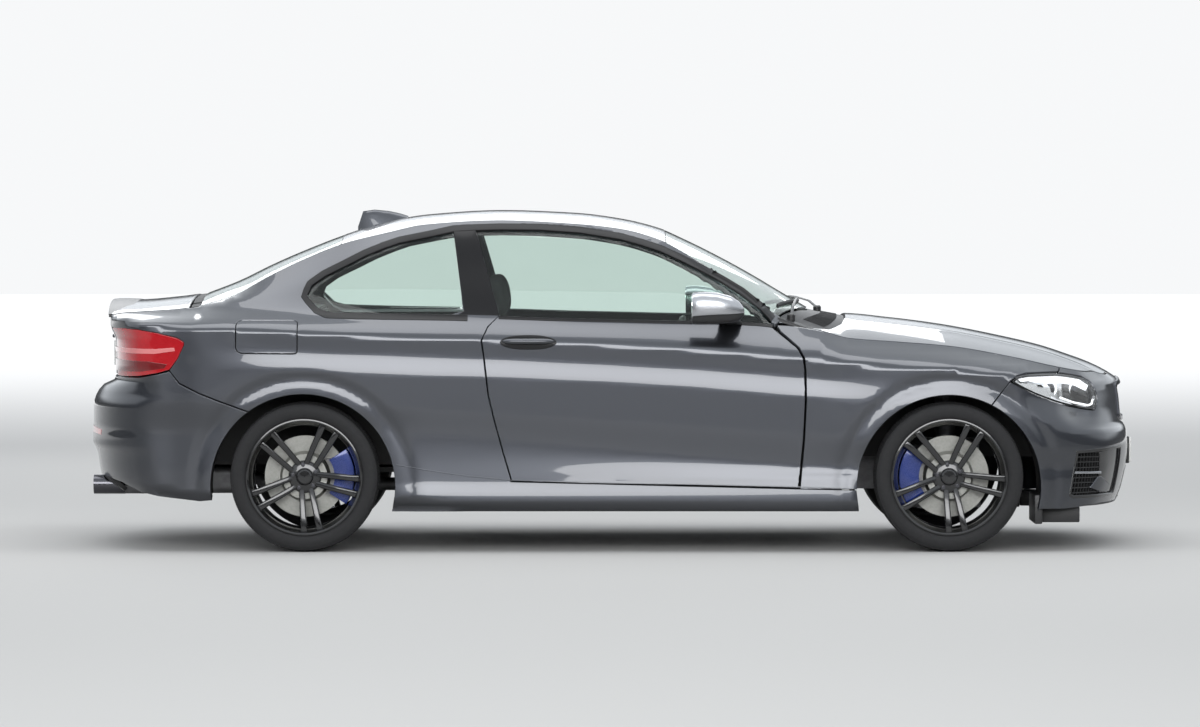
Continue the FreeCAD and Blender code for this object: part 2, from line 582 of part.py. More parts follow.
lid = hull(rear_end, lid_front, 0).cut(hull(rear_end, lid_front + 1, skin))
lid = lid.common(lid_region)
lamp_rect = [(330, 742), (545, 752), (545, 915), (360, 905), (330, 890)]
lid = lid.cut(prism(grow(lamp_rect, seat_gap), "yz", rear_end, tail_x + 220))
plate_face = tail_x + 121
lid = lid.cut(block(rear_end, plate_face, -10, dim("plate_length") / 2 + 15, 752, 880))
lid = lid.fuse(block(plate_face, plate_face + 14, 0, dim("plate_length") / 2 + 15, 752, 880))
lid = lid.cut(rod(dim("plate_hole"), (plate_face - 60, dim("plate_screws") / 2, 816), (100, 0, 0)))
lip = ruled([wire_yz([(0, z0), (560, z0 - 34), (560, z0 - 44), (0, z0 - 30)], tail_x + dx)
             for dx, z0 in ((92, 1041), (150, 1043), (200, 1038))])
lid = lid.fuse(lip.common(hull(rear_end, lid_front, -8)))
neck = [(8, -6), (-46, -112), (-76, -152), (-142, -140), (-182, -92), (-200, -30), (-250, -26),
        (-250, 8), (-186, 4), (-180, -28), (-162, -78), (-130, -116), (-90, -130), (-66, -104), (-7, -4)]
lid_arm = prism([(lid_axis[0] + dx, lid_axis[1] + dz) for dx, dz in neck], "xz", 508, 532)
lid_arm = lid_arm.cut(hull(rear_end, lid_front + 1, 0).cut(hull(rear_end, lid_front + 1, skin - 10)))
lid_arm = max(lid_arm.Solids, key=lambda solid: solid.Volume)
lid_arm = lid_arm.fuse(rod(12, (lid_axis[0], 508, lid_axis[1]), (0, 24, 0)))
lid_arm = lid_arm.cut(rod(6.4, (lid_axis[0], 490, lid_axis[1]), (0, 60, 0)))
lid = lid.fuse(lid_arm)
feature("trunk_lid", lid.fuse(mirrored(lid)))
lid_lamp = hull(rear_end, tail_x + 300, 1).cut(hull(rear_end, tail_x + 301, 30))
lid_lamp = lid_lamp.common(prism(lamp_rect, "yz", rear_end, tail_x + 220))
feature("lid_lamps", Part.makeCompound([lid_lamp, mirrored(lid_lamp)]))

rear_shell = hull(rear_end, rear_axle + 100, 0).cut(hull(rear_end, rear_axle + 101, skin))
rear_bumper = rear_shell.common(prism(rear_bumper_outline, "xz", 0, 1000)).cut(well_rear)
pipe_place = (430, 262)
pipe_bore = dim("tailpipe_radius") + 7
rear_bumper = rear_bumper.cut(rod(pipe_bore, (tail_x - 20, *pipe_place), (420, 0, 0)))
rear_bumper = rear_bumper.cut(block(tail_x + 230, rear_axle + 200, -1, 720, 0, 420))
feature("rear_bumper", rear_bumper.fuse(mirrored(rear_bumper)))
tail_lamp = hull(rear_end, tail_x + 560, 1).cut(hull(rear_end, tail_x + 561, 60))
tail_lamp = tail_lamp.common(prism(tail_lamp_outline, "xz", 300, 1000)).cut(lid_cut)
feature("tail_lamps", Part.makeCompound([tail_lamp, mirrored(tail_lamp)]))
print("glass and rear done")


# Sub-parts from here on are bound to the sheet by expressions
def bound(kind, name, start=(0, 0, 0), turn=None, **cells):
    item = doc.addObject(kind, name)
    for prop, expression in cells.items():
        item.setExpression(prop, expression)
    item.Placement = Placement(Vector(*start), turn or Rotation())
    return item


def joined(name, items):
    union = doc.addObject("Part::MultiFuse", name)
    union.Shapes = items
    union.Label = name
    finished.append(union)
    return union


along_y = Rotation(Vector(1, 0, 0), -90)
along_x = Rotation(Vector(0, 1, 0), 90)


def plane_of(body, role):
    return next(item for item in body.Origin.OriginFeatures if item.Role == role)


def sketch_on(body, name, role):
    sketch = body.newObject("Sketcher::SketchObject", name)
    sketch.AttachmentSupport = (plane_of(body, role), [""])
    sketch.MapMode = "FlatFace"
    return sketch


def closed(sketch, points):
    for (ax, ay), (bx, by) in zip(points, points[1:] + points[:1]):
        sketch.addGeometry(Part.LineSegment(Vector(ax, ay, 0), Vector(bx, by, 0)))
    count = len(points)
    for index in range(count):
        sketch.addConstraint(Sketcher.Constraint("Coincident", index, 2, (index + 1) % count, 1))


def revolve(body, name, points, cut=False):
    """Turns a radius-and-height outline about the body's Z axis."""
    sketch = sketch_on(body, name + "Outline", "XZ_Plane")
    closed(sketch, points)
    turned = body.newObject("PartDesign::Groove" if cut else "PartDesign::Revolution", name)
    turned.Profile = sketch
    turned.ReferenceAxis = (sketch, ["V_Axis"])
    turned.Angle = 360
    body.Tip = turned
    return sketch


def radial(sketch, name, line, alias):
    """Ties the first end of a line to its distance from the axis."""
    index = sketch.addConstraint(Sketcher.Constraint("DistanceX", -1, 1, line, 1, dim(alias)))
    sketch.renameConstraint(index, name)
    sketch.setExpression(f"Constraints.{name}", f"Dims.{alias}")


def patterned(body, name, feature_item, alias):
    pattern = body.newObject("PartDesign::PolarPattern", name)
    pattern.Originals = [feature_item]
    pattern.Axis = (plane_of(body, "Z_Axis"), [""])
    pattern.Angle = 360
    body.Tip = pattern
    pattern.setExpression("Occurrences", f"Dims.{alias}")
    return pattern


# Wheels: name, axle, track, tyre width, which side is out
def rim(name, place, turn, half_width):
    body = doc.addObject("PartDesign::Body", name)
    flange, barrel = dim("rim_radius"), dim("barrel_radius")
    lip = half_width - 8
    face = 45
    outline = [(dim("wheel_bore") / 2, face), (dim("hub_radius"), face), (dim("hub_radius"), face + 20),
               (dim("hub_radius") - 14, face + 42), (dim("wheel_bore") / 2, face + 42)]
    revolve(body, name + "Hub", outline)
    barrel_outline = [(barrel - 8, 10 - lip), (flange - 6, -lip), (flange, -lip), (flange, 7 - lip),
                      (flange - 13, 7 - lip), (flange - 13, 26 - lip), (barrel, 36 - lip),
                      (barrel, lip - 44),
                      (flange - 13, lip - 26), (flange - 13, lip - 7), (flange, lip - 7), (flange, lip),
                      (flange - 7, lip), (barrel - 4, lip - 16), (barrel - 8, lip - 36)]
    spoke = sketch_on(body, name + "Bars", "XY_Plane")
    spoke.AttachmentOffset = Placement(Vector(0, 0, face + 16), Rotation())
    width = dim("spoke_width")
    for low in (9, -9 - width):
        first = spoke.GeometryCount
        spread = 6 if low > 0 else -6
        corners = [(40, low), (barrel - 5, low + spread), (barrel - 5, low + width + spread),
                   (40, low + width)]
        for (ax, ay), (bx, by) in zip(corners, corners[1:] + corners[:1]):
            spoke.addGeometry(Part.LineSegment(Vector(ax, ay, 0), Vector(bx, by, 0)))
        for index in range(4):
            after = first + (index + 1) % 4
            spoke.addConstraint(Sketcher.Constraint("Coincident", first + index, 2, after, 1))
    bars = body.newObject("PartDesign::Pad", name + "BarPad")
    bars.Profile = spoke
    bars.setExpression("Length", "Dims.spoke_depth")
    body.Tip = bars
    patterned(body, name + "Spokes", bars, "spoke_pairs")
    sketch = revolve(body, name + "Barrel", barrel_outline)
    radial(sketch, "flange", 2, "rim_radius")
    body.Placement = Placement(Vector(*place), turn)
    body.Label = name
    finished.append(body)


def tyre(name, place, turn, half_width):
    body = doc.addObject("PartDesign::Body", name)
    tread, bead = dim("tyre_radius"), dim("rim_radius") - 13 + seat_gap
    w = half_width
    side = [(tread, w - 26), (tread - 7, w - 11), (tread - 26, w - 1), (bead + 34, w), (bead + 18, w - 8),
            (bead + 14, w - 15 - seat_gap), (bead, w - 15 - seat_gap), (bead, w - 30), (bead + 22, w - 24),
            (tread - 32, w - 12), (tread - 14, w - 26)]
    outline = [(tread, 26 - w)] + side + [(radius, -z) for radius, z in side[:0:-1]]
    sketch = revolve(body, name + "Case", outline)
    radial(sketch, "tread", 0, "tyre_radius")
    for number, z in enumerate((-48, -16, 16, 48)):
        revolve(body, f"{name}Groove{number}", [(tread - 6, z - 4), (tread + 3, z - 4), (tread + 3, z + 4),
                                               (tread - 6, z + 4)], cut=True)
    body.Placement = Placement(Vector(*place), turn)
    body.Label = name
    finished.append(body)


def disc(name, place, turn):
    body = doc.addObject("PartDesign::Body", name)
    outer, thick, face = dim("disc_radius"), dim("disc_thickness"), 45 - seat_gap
    outline = [(22.4, -20), (62, -20), (80, 10), (84, -8), (100, -28), (outer, -28), (outer, thick - 28),
               (106, thick - 28), (94, face), (22.4, face)]
    sketch = revolve(body, name + "Outline", outline)
    radial(sketch, "edge", 5, "disc_radius")
    body.Placement = Placement(Vector(*place), turn)
    body.Label = name
    finished.append(body)


outward = {"left": Rotation(Vector(1, 0, 0), -90), "right": Rotation(Vector(1, 0, 0), 90)}
wheel_places = {}
for end, axle, track, width in (("front", front_axle, dim("track_front"), dim("tyre_width_front")),
                                ("rear", rear_axle, dim("track_rear"), dim("tyre_width_rear"))):
    for hand, sign in (("left", 1), ("right", -1)):
        place = (axle, sign * track / 2, wheel_z)
        wheel_places[end, hand] = place
        rim(f"rim_{end}_{hand}", place, outward[hand], width / 2)
        tyre(f"tyre_{end}_{hand}", place, outward[hand], width / 2)
        disc(f"brake_disc_{end}_{hand}", place, outward[hand])
print("wheels done")

# Uprights: the front ones turn on two pins held by the arms
kingpin_y = dim("track_front") / 2 - dim("kingpin_offset")
pin_r = dim("kingpin_radius")


def upright(end, hand, sign, pinned):
    x, y, z = wheel_places[end, hand]
    track = abs(y)
    bar = block(x - 24, x + 24, track - 84, track - 38, z - 112, z + 118)
    boss = rod(46, (x, track - 60, z), (0, 30, 0)).fuse(rod(22, (x, track - 40, z), (0, 80, 0)))
    back = -1 if end == "front" else 1
    centre = x + back * 140
    caliper = Part.makeBox(120, 90, 150, Vector(centre - 60, track - 56, z - 75))
    ring_out = rod(dim("barrel_radius") - 16, (x, track - 60, z), (0, 120, 0))
    ring_in = rod(112, (x, track - 60, z), (0, 120, 0))
    slot_ring = rod(dim("disc_radius") + 5, (x, track - 33, z), (0, dim("disc_thickness") + 10, 0))
    caliper = caliper.common(ring_out).cut(ring_in).cut(slot_ring)
    link = block(min(x, centre) - 5, max(x, centre) + 5, track - 56, track - 40, z - 30, z + 30)
    solid = bar.fuse(boss).fuse(caliper).fuse(link)
    solid = solid.cut(slot_ring.cut(rod(30, (x, track - 40, z), (0, 90, 0))))
    if pinned:
        for low in (z - 120, z + 78):
            solid = solid.cut(rod(pin_r + 0.3, (x, kingpin_y, low), (0, 0, 44)))
    return solid if sign > 0 else mirrored(solid)


pair("knuckle", upright("front", "left", 1, True))


def arm_set(axle_x, inner, outer, z, depth):
    """A forked flat arm seen from above."""
    return prism([(axle_x - 150, inner), (axle_x - 110, inner), (axle_x, outer - 60), (axle_x + 110, inner),
                  (axle_x + 150, inner), (axle_x + 22, outer), (axle_x - 22, outer)], "xy", z, z + depth)


low_arm = arm_set(front_axle, 380, kingpin_y + 18, wheel_z - 142, 22)
low_arm = low_arm.fuse(block(front_axle - 90, front_axle + 90, 470, 580, wheel_z - 142, wheel_z - 120))
low_arm = low_arm.fuse(rod(pin_r, (front_axle, kingpin_y, wheel_z - 122), (0, 0, 40)))
high_arm = arm_set(front_axle, 440, kingpin_y + 18, wheel_z + 126, 20)
high_arm = high_arm.fuse(rod(pin_r, (front_axle, kingpin_y, wheel_z + 90), (0, 0, 38)))
high_arm = high_arm.fuse(block(front_axle - 150, front_axle + 150, 428, 450, wheel_z + 96, wheel_z + 150))
spring = rod(44, (front_axle, 530, wheel_z - 125), (0, 0, 620))
low_beam = block(front_axle - 160, front_axle + 160, 0, 400, wheel_z - 150, wheel_z - 100)
seat_plate = block(front_axle - 100, front_axle + 100, 440, 545, wheel_z + 126, wheel_z + 146)
front_arms = low_arm.fuse(spring).fuse(low_beam).fuse(high_arm.cut(spring)).fuse(seat_plate)
feature("front_suspension", front_arms.fuse(mirrored(front_arms)))

rear_half = upright("rear", "left", 1, False)
rear_beam = block(rear_axle - 70, rear_axle + 70, 0, 480, wheel_z - 90, wheel_z - 30)
rear_arm = arm_set(rear_axle, 420, dim("track_rear") / 2 - 60, wheel_z - 90, 24)
half_shaft = rod(18, (rear_axle, 0, wheel_z), (0, dim("track_rear") / 2 - 60, 0))
final_drive = block(rear_axle - 130, rear_axle + 15, 0, 120, wheel_z - 100, wheel_z + 35)
rear_spring = rod(46, (rear_axle - 30, 500, wheel_z - 70), (0, 0, 110))
rear_parts = rear_half.fuse(rear_beam).fuse(rear_arm).fuse(half_shaft).fuse(final_drive).fuse(rear_spring)
feature("rear_suspension", rear_parts.fuse(mirrored(rear_parts)))
print("running gear done")

# Floor, bulkheads and inner structure
floor_low, floor_top = dim("floor_height"), dim("floor_height") + dim("floor_thickness")
wall = 742 - dim("sill_wall")
tunnel_in, tunnel_out = 98, 113
floor_plate = block(rear_axle + 540, front_axle - 595, tunnel_in, wall, floor_low, floor_top)
tunnel = block(rear_axle + 562, front_axle - 595, 0, tunnel_out, floor_low + 190, floor_low + 210)
roof_z = floor_low + 210
tunnel_side = block(rear_axle + 562, front_axle - 595, tunnel_in, tunnel_out, floor_top - 1, roof_z)
tunnel_end = block(rear_axle + 562, rear_axle + 580, 0, tunnel_out, floor_low + 130, roof_z)
tunnel = tunnel.fuse(tunnel_side).fuse(tunnel_end)
firewall = block(front_axle - 620, front_axle - 595, 0, wall, floor_low, 886 - seat_gap)
firewall = firewall.cut(block(front_axle - 621, front_axle - 594, 0, tunnel_in, 0, floor_low + 190))
seat_step = block(rear_axle + 540, rear_axle + 562, tunnel_in, wall, floor_top - 1, floor_low + 150)
seat_deck = block(rear_axle + 20, rear_axle + 562, 0, 562, floor_low + 130, floor_low + 150)
bulkhead = block(rear_axle + 20, rear_axle + 38, 0, 562, floor_low + 130, 985)
trunk_floor = block(tail_x + 140, rear_axle + 38, 0, 562, 352, 372)
tail_wall = block(tail_x + 140, tail_x + 152, 0, 540, 352, 670)
floor_half = floor_plate.fuse(tunnel).fuse(firewall).fuse(seat_step).fuse(seat_deck).fuse(bulkhead)
floor_half = floor_half.fuse(trunk_floor).fuse(tail_wall)
feature("floor_pan", floor_half.fuse(mirrored(floor_half)))

well_wall = dim("front_well_inner") - 12
rail = block(front_axle - 595, nose_x - 105, 345, 405, 400, 470)
inner_wing = block(front_axle - 420, front_axle + 420, well_wall, well_wall + 12, 380, wheel_z + 507)
tower = block(front_axle - 85, front_axle + 85, well_wall, 640, wheel_z + 495, wheel_z + 507)
web = block(front_axle - 420, front_axle + 420, 404, well_wall + 1, 400, 470)
radiator = block(nose_x - 285, nose_x - 245, 0, 405, 200, 640)
crash_beam = block(nose_x - 125, nose_x - 90, 0, 406, 430, 500)
front_half = rail.fuse(inner_wing).fuse(tower).fuse(web).fuse(radiator).fuse(crash_beam)
front_half = front_half.common(hull(front_split, front_end, skin + 6))
feature("front_structure", front_half.fuse(mirrored(front_half)))


def liner(axle_x, z, inner, outer, backed):
    lining = dim("liner_thickness")
    radius = dim("arch_radius") + 8
    tube = rod(radius + lining, (axle_x, inner, z), (0, outer - inner, 0))
    tube = tube.cut(rod(radius, (axle_x, inner + (lining if backed else -1), z), (0, outer, 0)))
    return tube.cut(block(axle_x - 500, axle_x + 500, inner - 5, outer + 5, -500, z - 60))


front_liner = liner(front_axle, arch_z, dim("front_well_inner") + 1, half - 62, False)
front_liner = front_liner.cut(rod(54, (front_axle, 530, 300), (0, 0, 500)))
front_liner = front_liner.common(hull(front_split, front_end, skin + seat_gap))
rear_liner = liner(rear_axle - 6, arch_z + 4, 563, half - 50, True)
rear_liner = rear_liner.cut(block(rear_axle - 500, rear_axle + 500, 500, 575, 0, 352))
rear_liner = rear_liner.cut(block(rear_axle + 300, rear_axle + 500, 500, 900, 0, 330))
rear_liner = rear_liner.common(hull(rear_end, ring_end, skin + seat_gap))
liners = [front_liner, mirrored(front_liner), rear_liner, mirrored(rear_liner)]
feature("wheel_liners", Part.makeCompound(liners))

engine = bound("Part::Box", "EngineBlock", (front_axle - 460, -dim("engine_width") / 2, 236),
               Length="Dims.engine_length", Width="Dims.engine_width", Height="Dims.engine_height")
gearbox = bound("Part::Cylinder", "Gearbox", (front_axle - 700, 0, 280), along_x, Radius="95", Height="250")
joined("engine", [engine, gearbox])

pipe = dim("exhaust_radius")
route = [(front_axle - 700 - seat_gap, 40, 240), (rear_axle + 230, 40, 240), (rear_axle + 100, 200, 192),
         (rear_axle - 130, 200, 192), (rear_axle - 300, 200, 280)]
solid = None
for start, end in zip(route, route[1:]):
    leg = rod(pipe, start, tuple(b - a for a, b in zip(start, end)))
    leg = leg.fuse(Part.makeSphere(pipe, Vector(*end)))
    solid = leg if solid is None else solid.fuse(leg)
muffler = block(tail_x + 250, rear_axle - 290, -500, 500, 226, 340)
long_edges = [edge for edge in muffler.Edges if abs(edge.tangentAt(edge.FirstParameter).x) > 0.9]
muffler = muffler.makeFillet(34, long_edges)
solid = solid.fuse(muffler)
for y in (-pipe_place[0], pipe_place[0]):
    tip = rod(dim("tailpipe_radius"), (tail_x + 35, y, pipe_place[1]), (260, 0, 0))
    tip_bore = rod(dim("tailpipe_radius") - 4, (tail_x + 30, y, pipe_place[1]), (120, 0, 0))
    solid = solid.fuse(tip).cut(tip_bore)
feature("exhaust", solid)
print("structure done")

# Cabin
seats = []
width = dim("seat_width")
seat_x = dim("seat_x")
for sign in (1, -1):
    y0 = sign * dim("seat_offset") - width / 2
    cushion = prism([(seat_x - 370, 300), (seat_x + 130, 320), (seat_x + 140, 400), (seat_x + 100, 450),
                     (seat_x - 360, 415)], "xz", y0, y0 + width)
    back = prism([(seat_x - 400, 330), (seat_x - 300, 350), (seat_x - 270, 480), (seat_x - 395, 900),
                  (seat_x - 440, 935), (seat_x - 500, 930), (seat_x - 520, 880), (seat_x - 440, 400)],
                 "xz", y0, y0 + width)
    head = prism([(seat_x - 500, 960), (seat_x - 430, 955), (seat_x - 445, 1120), (seat_x - 500, 1150),
                  (seat_x - 535, 1140), (seat_x - 540, 980)], "xz", y0 + 115, y0 + width - 115)
    stalks = [rod(7, (seat_x - 485, y0 + width / 2 + dy, 880), (0, 0, 120)) for dy in (-60, 60)]
    runner = block(seat_x - 330, seat_x + 90, y0 + 40, y0 + width - 40, floor_top + seat_gap, 330)
    seat = cushion.fuse(back).fuse(head).fuse(runner)
    for stalk in stalks:
        seat = seat.fuse(stalk)
    seats.append(seat)
feature("front_seats", Part.makeCompound(seats))

deck_top = floor_low + 150 + seat_gap
rear_cushion = prism([(rear_axle + 160, deck_top), (rear_axle + 555, deck_top), (rear_axle + 561, 400),
                      (rear_axle + 540, 445), (rear_axle + 120, 410)], "xz", -555, 555)
rear_back = prism([(rear_axle + 38.3, 345), (rear_axle + 170, 345), (rear_axle + 185, 480),
                   (rear_axle + 90, 900), (rear_axle + 60, 930), (rear_axle + 38.3, 930)], "xz", -555, 555)
feature("rear_seat", rear_cushion.fuse(rear_back))

wheel_centre = Vector(front_axle - 1170, dim("seat_offset"), 775)
wheel_axis = Vector(-math.cos(math.radians(24)), 0, math.sin(math.radians(24)))
dash_profile = [(-1000, 640), (-1020, 760), (-985, 870), (-900, 920), (-780, 915), (-640, 880), (-640, 560),
                (-850, 560), (-960, 600)]
dash = prism(at(front_axle, dash_profile), "xz", -wall + 4, wall - 4)
driver_y = dim("seat_offset")
hood_over = block(front_axle - 1040, front_axle - 900, driver_y - 170, driver_y + 170, 860, 935)
console = block(rear_axle + 620, front_axle - 900, -105, 105, floor_low + 210 + seat_gap, 470)
riser = at(front_axle, [(-1130, 470), (-900, 470), (-900, 640), (-960, 640)])
console = console.fuse(prism(riser, "xz", -105, 105))
column_start = wheel_centre - wheel_axis * 42
column = Part.makeCylinder(38, 130, column_start - wheel_axis * 130, wheel_axis)
column = column.fuse(Part.makeCylinder(9, 30, column_start, wheel_axis))
feature("dashboard", dash.fuse(hood_over).fuse(console).fuse(column))

turn = Rotation(Vector(0, 0, 1), wheel_axis)
grip = bound("Part::Torus", "Grip", tuple(wheel_centre), turn, Radius1="Dims.steering_rim",
             Radius2="Dims.steering_grip")
boss_start = wheel_centre - wheel_axis * 34
boss = bound("Part::Cylinder", "Boss", tuple(boss_start), turn, Radius="62", Height="38")
socket = bound("Part::Cylinder", "Socket", tuple(boss_start - wheel_axis), turn, Radius="9.4", Height="24")
bars = []
for angle, length in ((90, 180), (-90, 180), (180, 180)):
    arm_turn = turn.multiply(Rotation(Vector(0, 0, 1), angle))
    start = wheel_centre + arm_turn.multVec(Vector(30, -17, -14))
    bars.append(bound("Part::Box", f"Bar{len(bars)}", tuple(start), arm_turn,
                      Length="Dims.steering_rim - 35", Width="34", Height="14"))
whole = doc.addObject("Part::MultiFuse", "WheelWhole")
whole.Shapes = [grip, boss] + bars
steering = doc.addObject("Part::Cut", "steering_wheel")
steering.Base = whole
steering.Tool = socket
steering.Label = "steering_wheel"
finished.append(steering)
print("cabin done")

doc.recompute()
os.makedirs("parts", exist_ok=True)
faulty = [item.Name for item in doc.Objects if {"Invalid", "Error"} & set(item.State)]
for item in finished:
    if item.Shape.isNull() or not item.Shape.isValid():
        faulty.append(item.Label)
    print(item.Label, len(item.Shape.Solids), len(item.Shape.Faces), round(item.Shape.Volume / 1e6, 2),
          item.Shape.BoundBox)
if faulty:
    raise RuntimeError(f"faulty sub-parts: {faulty}")
for item in finished:
    item.Shape.exportStep(f"parts/{item.Label}.step")
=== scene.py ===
# A coupe car in a pale studio: how each piece looks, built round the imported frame
import bmesh
import bpy
import math
import numpy as np
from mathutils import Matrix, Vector
from mathutils.geometry import delaunay_2d_cdt


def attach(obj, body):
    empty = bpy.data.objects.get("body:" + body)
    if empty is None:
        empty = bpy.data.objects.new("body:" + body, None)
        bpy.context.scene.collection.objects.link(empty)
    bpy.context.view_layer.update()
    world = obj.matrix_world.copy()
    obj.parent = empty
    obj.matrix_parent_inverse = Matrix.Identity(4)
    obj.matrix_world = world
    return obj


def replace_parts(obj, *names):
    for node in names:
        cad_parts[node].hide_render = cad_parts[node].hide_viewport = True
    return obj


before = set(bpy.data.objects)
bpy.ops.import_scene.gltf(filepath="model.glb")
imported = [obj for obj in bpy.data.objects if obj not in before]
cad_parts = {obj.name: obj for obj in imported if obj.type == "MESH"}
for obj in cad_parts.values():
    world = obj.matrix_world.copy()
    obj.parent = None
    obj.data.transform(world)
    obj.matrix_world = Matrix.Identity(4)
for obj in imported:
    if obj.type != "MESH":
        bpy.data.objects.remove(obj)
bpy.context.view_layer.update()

# Driving sizes and places in millimetres, in the part's own frame
car = {"halfWidth": 887, "frontAxle": 1410, "rearAxle": -1280, "wheelZ": 312, "archRadius": 385,
       "frontArch": (1410, 270), "rearArch": (-1286, 274), "wrapWidth": 912, "wrapLength": 1250}
halfWidth, frontAxle, rearAxle = car["halfWidth"], car["frontAxle"], car["rearAxle"]
frontArch, rearArch, archRadius = car["frontArch"], car["rearArch"], car["archRadius"]
wrapLength = car["wrapLength"]
front, rear = 1, -1
ends = {front: (1560, 2225), rear: (-1640, -2225)}  # where each end's skin starts to turn in, and its tip
cabinFrom, cabinTo = -1729, 880

# Half sections of the lower body; x, then how far in each line lies, and the heights
bodyRows = np.array([
    # x, side, crease, crease z, edge, edge z, crown z, underside z
    (-2235, 45, 55, 940, 330, 985, 1034, 300), (-2110, 45, 55, 940, 330, 985, 1034, 300),
    (-2060, 42, 50, 948, 305, 992, 1036, 286), (-1980, 40, 45, 948, 275, 998, 1040, 250),
    (-1855, 35, 40, 938, 255, 1006, 1052, 228), (-1700, 15, 18, 928, 235, 1022, 1068, 208),
    (-1500, 5, 10, 920, 195, 1035, 1045, 205), (-1280, 0, 8, 908, 150, 1002, 1007, 190),
    (-900, 9, 18, 892, 132, 985, 990, 181), (-466, 19, 27, 878, 122, 973, 978, 164),
    (330, 25, 33, 838, 122, 952, 957, 158), (710, 25, 34, 808, 160, 945, 950, 156),
    (860, 24, 34, 797, 187, 925, 960, 156), (1000, 21, 32, 785, 197, 888, 979, 158),
    (1200, 14, 26, 768, 197, 873, 961, 160), (1410, 8, 22, 757, 197, 856, 934, 160),
    (1700, 27, 42, 725, 197, 806, 878, 150), (1850, 59, 112, 690, 227, 772, 842, 133),
    (1960, 112, 240, 660, 310, 750, 806, 133), (2062, 180, 270, 652, 480, 733, 768, 136),
    (2152, 250, 330, 640, 560, 706, 720, 150), (2235, 330, 420, 600, 620, 640, 645, 170),
], float)

# Plan of each end by height: z, how far out, how square the corner
noseRows = np.array([
    (60, -215, 2.5), (135, -165, 2.5), (170, -75, 2.5), (255, -32, 2.6), (430, -8, 2.6), (500, -16, 2.5),
    (520, -34, 2.4), (600, -30, 2.1), (690, -40, 2.0), (745, -105, 2.0), (800, -155, 2.0), (1100, -155, 2.0),
], float)
tailRows = np.array([
    (60, 140, 2.6), (215, 135, 2.6), (300, 40, 2.6), (400, 22, 2.6), (440, 3, 2.6), (530, 7, 2.6),
    (600, 7, 2.6), (650, 25, 2.6), (690, 65, 2.8), (706, 105, 3.0), (760, 115, 3.5), (880, 113, 3.5),
    (940, 91, 3.5), (1100, 91, 4.0),
], float)

# Half sections of the cabin: x, centre height, then y and z of the roof edge, rail and belt
cabinRows = np.array([
    (-1729, 1070, 640, 1024, 660, 1018, 690, 1008), (-1600, 1120, 600, 1062, 680, 1040, 715, 1018),
    (-1450, 1193, 575, 1143, 662, 1078, 732, 1016), (-1300, 1258, 555, 1216, 640, 1130, 742, 1010),
    (-1138, 1320, 545, 1281, 618, 1190, 752, 1002), (-950, 1377, 545, 1328, 605, 1270, 758, 994),
    (-780, 1405, 548, 1364, 600, 1313, 762, 988), (-466, 1423, 552, 1381, 600, 1341, 765, 980),
    (-150, 1411, 555, 1366, 604, 1329, 765, 970), (40, 1387, 556, 1345, 610, 1300, 762, 966),
    (210, 1345, 562, 1297, 620, 1249, 760, 962), (300, 1306, 575, 1250, 632, 1206, 756, 960),
    (460, 1227, 602, 1149, 658, 1123, 748, 958), (620, 1139, 632, 1044, 690, 1012, 735, 950),
    (710, 1085, 650, 978, 700, 955, 722, 940), (880, 985, 560, 965, 640, 950, 700, 930),
], float)


def lined(u, v):  # two numbers or arrays as arrays of one length
    return np.broadcast_arrays(np.atleast_1d(np.asarray(u, float)), np.atleast_1d(np.asarray(v, float)))


def monotone(knots, values, at):  # smooth and never overshooting; one column of knots per point
    h = np.maximum(np.diff(knots, axis=0), 1e-6)
    d = np.diff(values, axis=0) / h
    m = np.zeros(values.shape)
    w1, w2 = 2 * h[1:] + h[:-1], h[1:] + 2 * h[:-1]
    with np.errstate(divide="ignore", invalid="ignore"):
        mean = (w1 + w2) / (w1 / d[:-1] + w2 / d[1:])
    m[1:-1] = np.where(d[:-1] * d[1:] > 0, np.nan_to_num(mean), 0)
    m[0], m[-1] = d[0], d[-1]
    at = np.clip(at, knots[0], knots[-1])
    i = (at[None] > knots[1:-1]).sum(axis=0)[None]

    def pick(rows):
        return np.take_along_axis(rows, i, 0)[0]

    span, k0, v0, m0 = pick(h), pick(knots[:-1]), pick(values[:-1]), pick(m[:-1])
    v1, m1 = pick(values[1:]), pick(m[1:])
    t = (at - k0) / span
    return ((1 + 2 * t) * (1 - t) ** 2 * v0 + t * (1 - t) ** 2 * span * m0
            + t * t * (3 - 2 * t) * v1 + t * t * (t - 1) * span * m1)


def column(rows, k):  # one column of a table as a smooth function of its first column
    fine = np.linspace(rows[0, 0], rows[-1, 0], 2401)
    shape = (len(rows), len(fine))
    smoothed = monotone(np.broadcast_to(rows[:, :1], shape), np.broadcast_to(rows[:, k:k + 1], shape), fine)

    def value(x):
        return np.interp(np.atleast_1d(np.asarray(x, float)), fine, smoothed)
    return value


sideIn, creaseIn, creaseZ, edgeIn, edgeZ, crownZ, underZ = (column(bodyRows, k) for k in range(1, 8))
roofZ, railTopY, railTopZ, railY, railZ, beltY, beltZ = (column(cabinRows, k) for k in range(1, 8))
reach = {front: column(noseRows, 1), rear: column(tailRows, 1)}
square = {front: column(noseRows, 2), rear: column(tailRows, 2)}


def bump(t):
    return np.exp(-t * t)


def smooth(t):
    t = np.clip(t, 0, 1)
    return t * t * (3 - 2 * t)


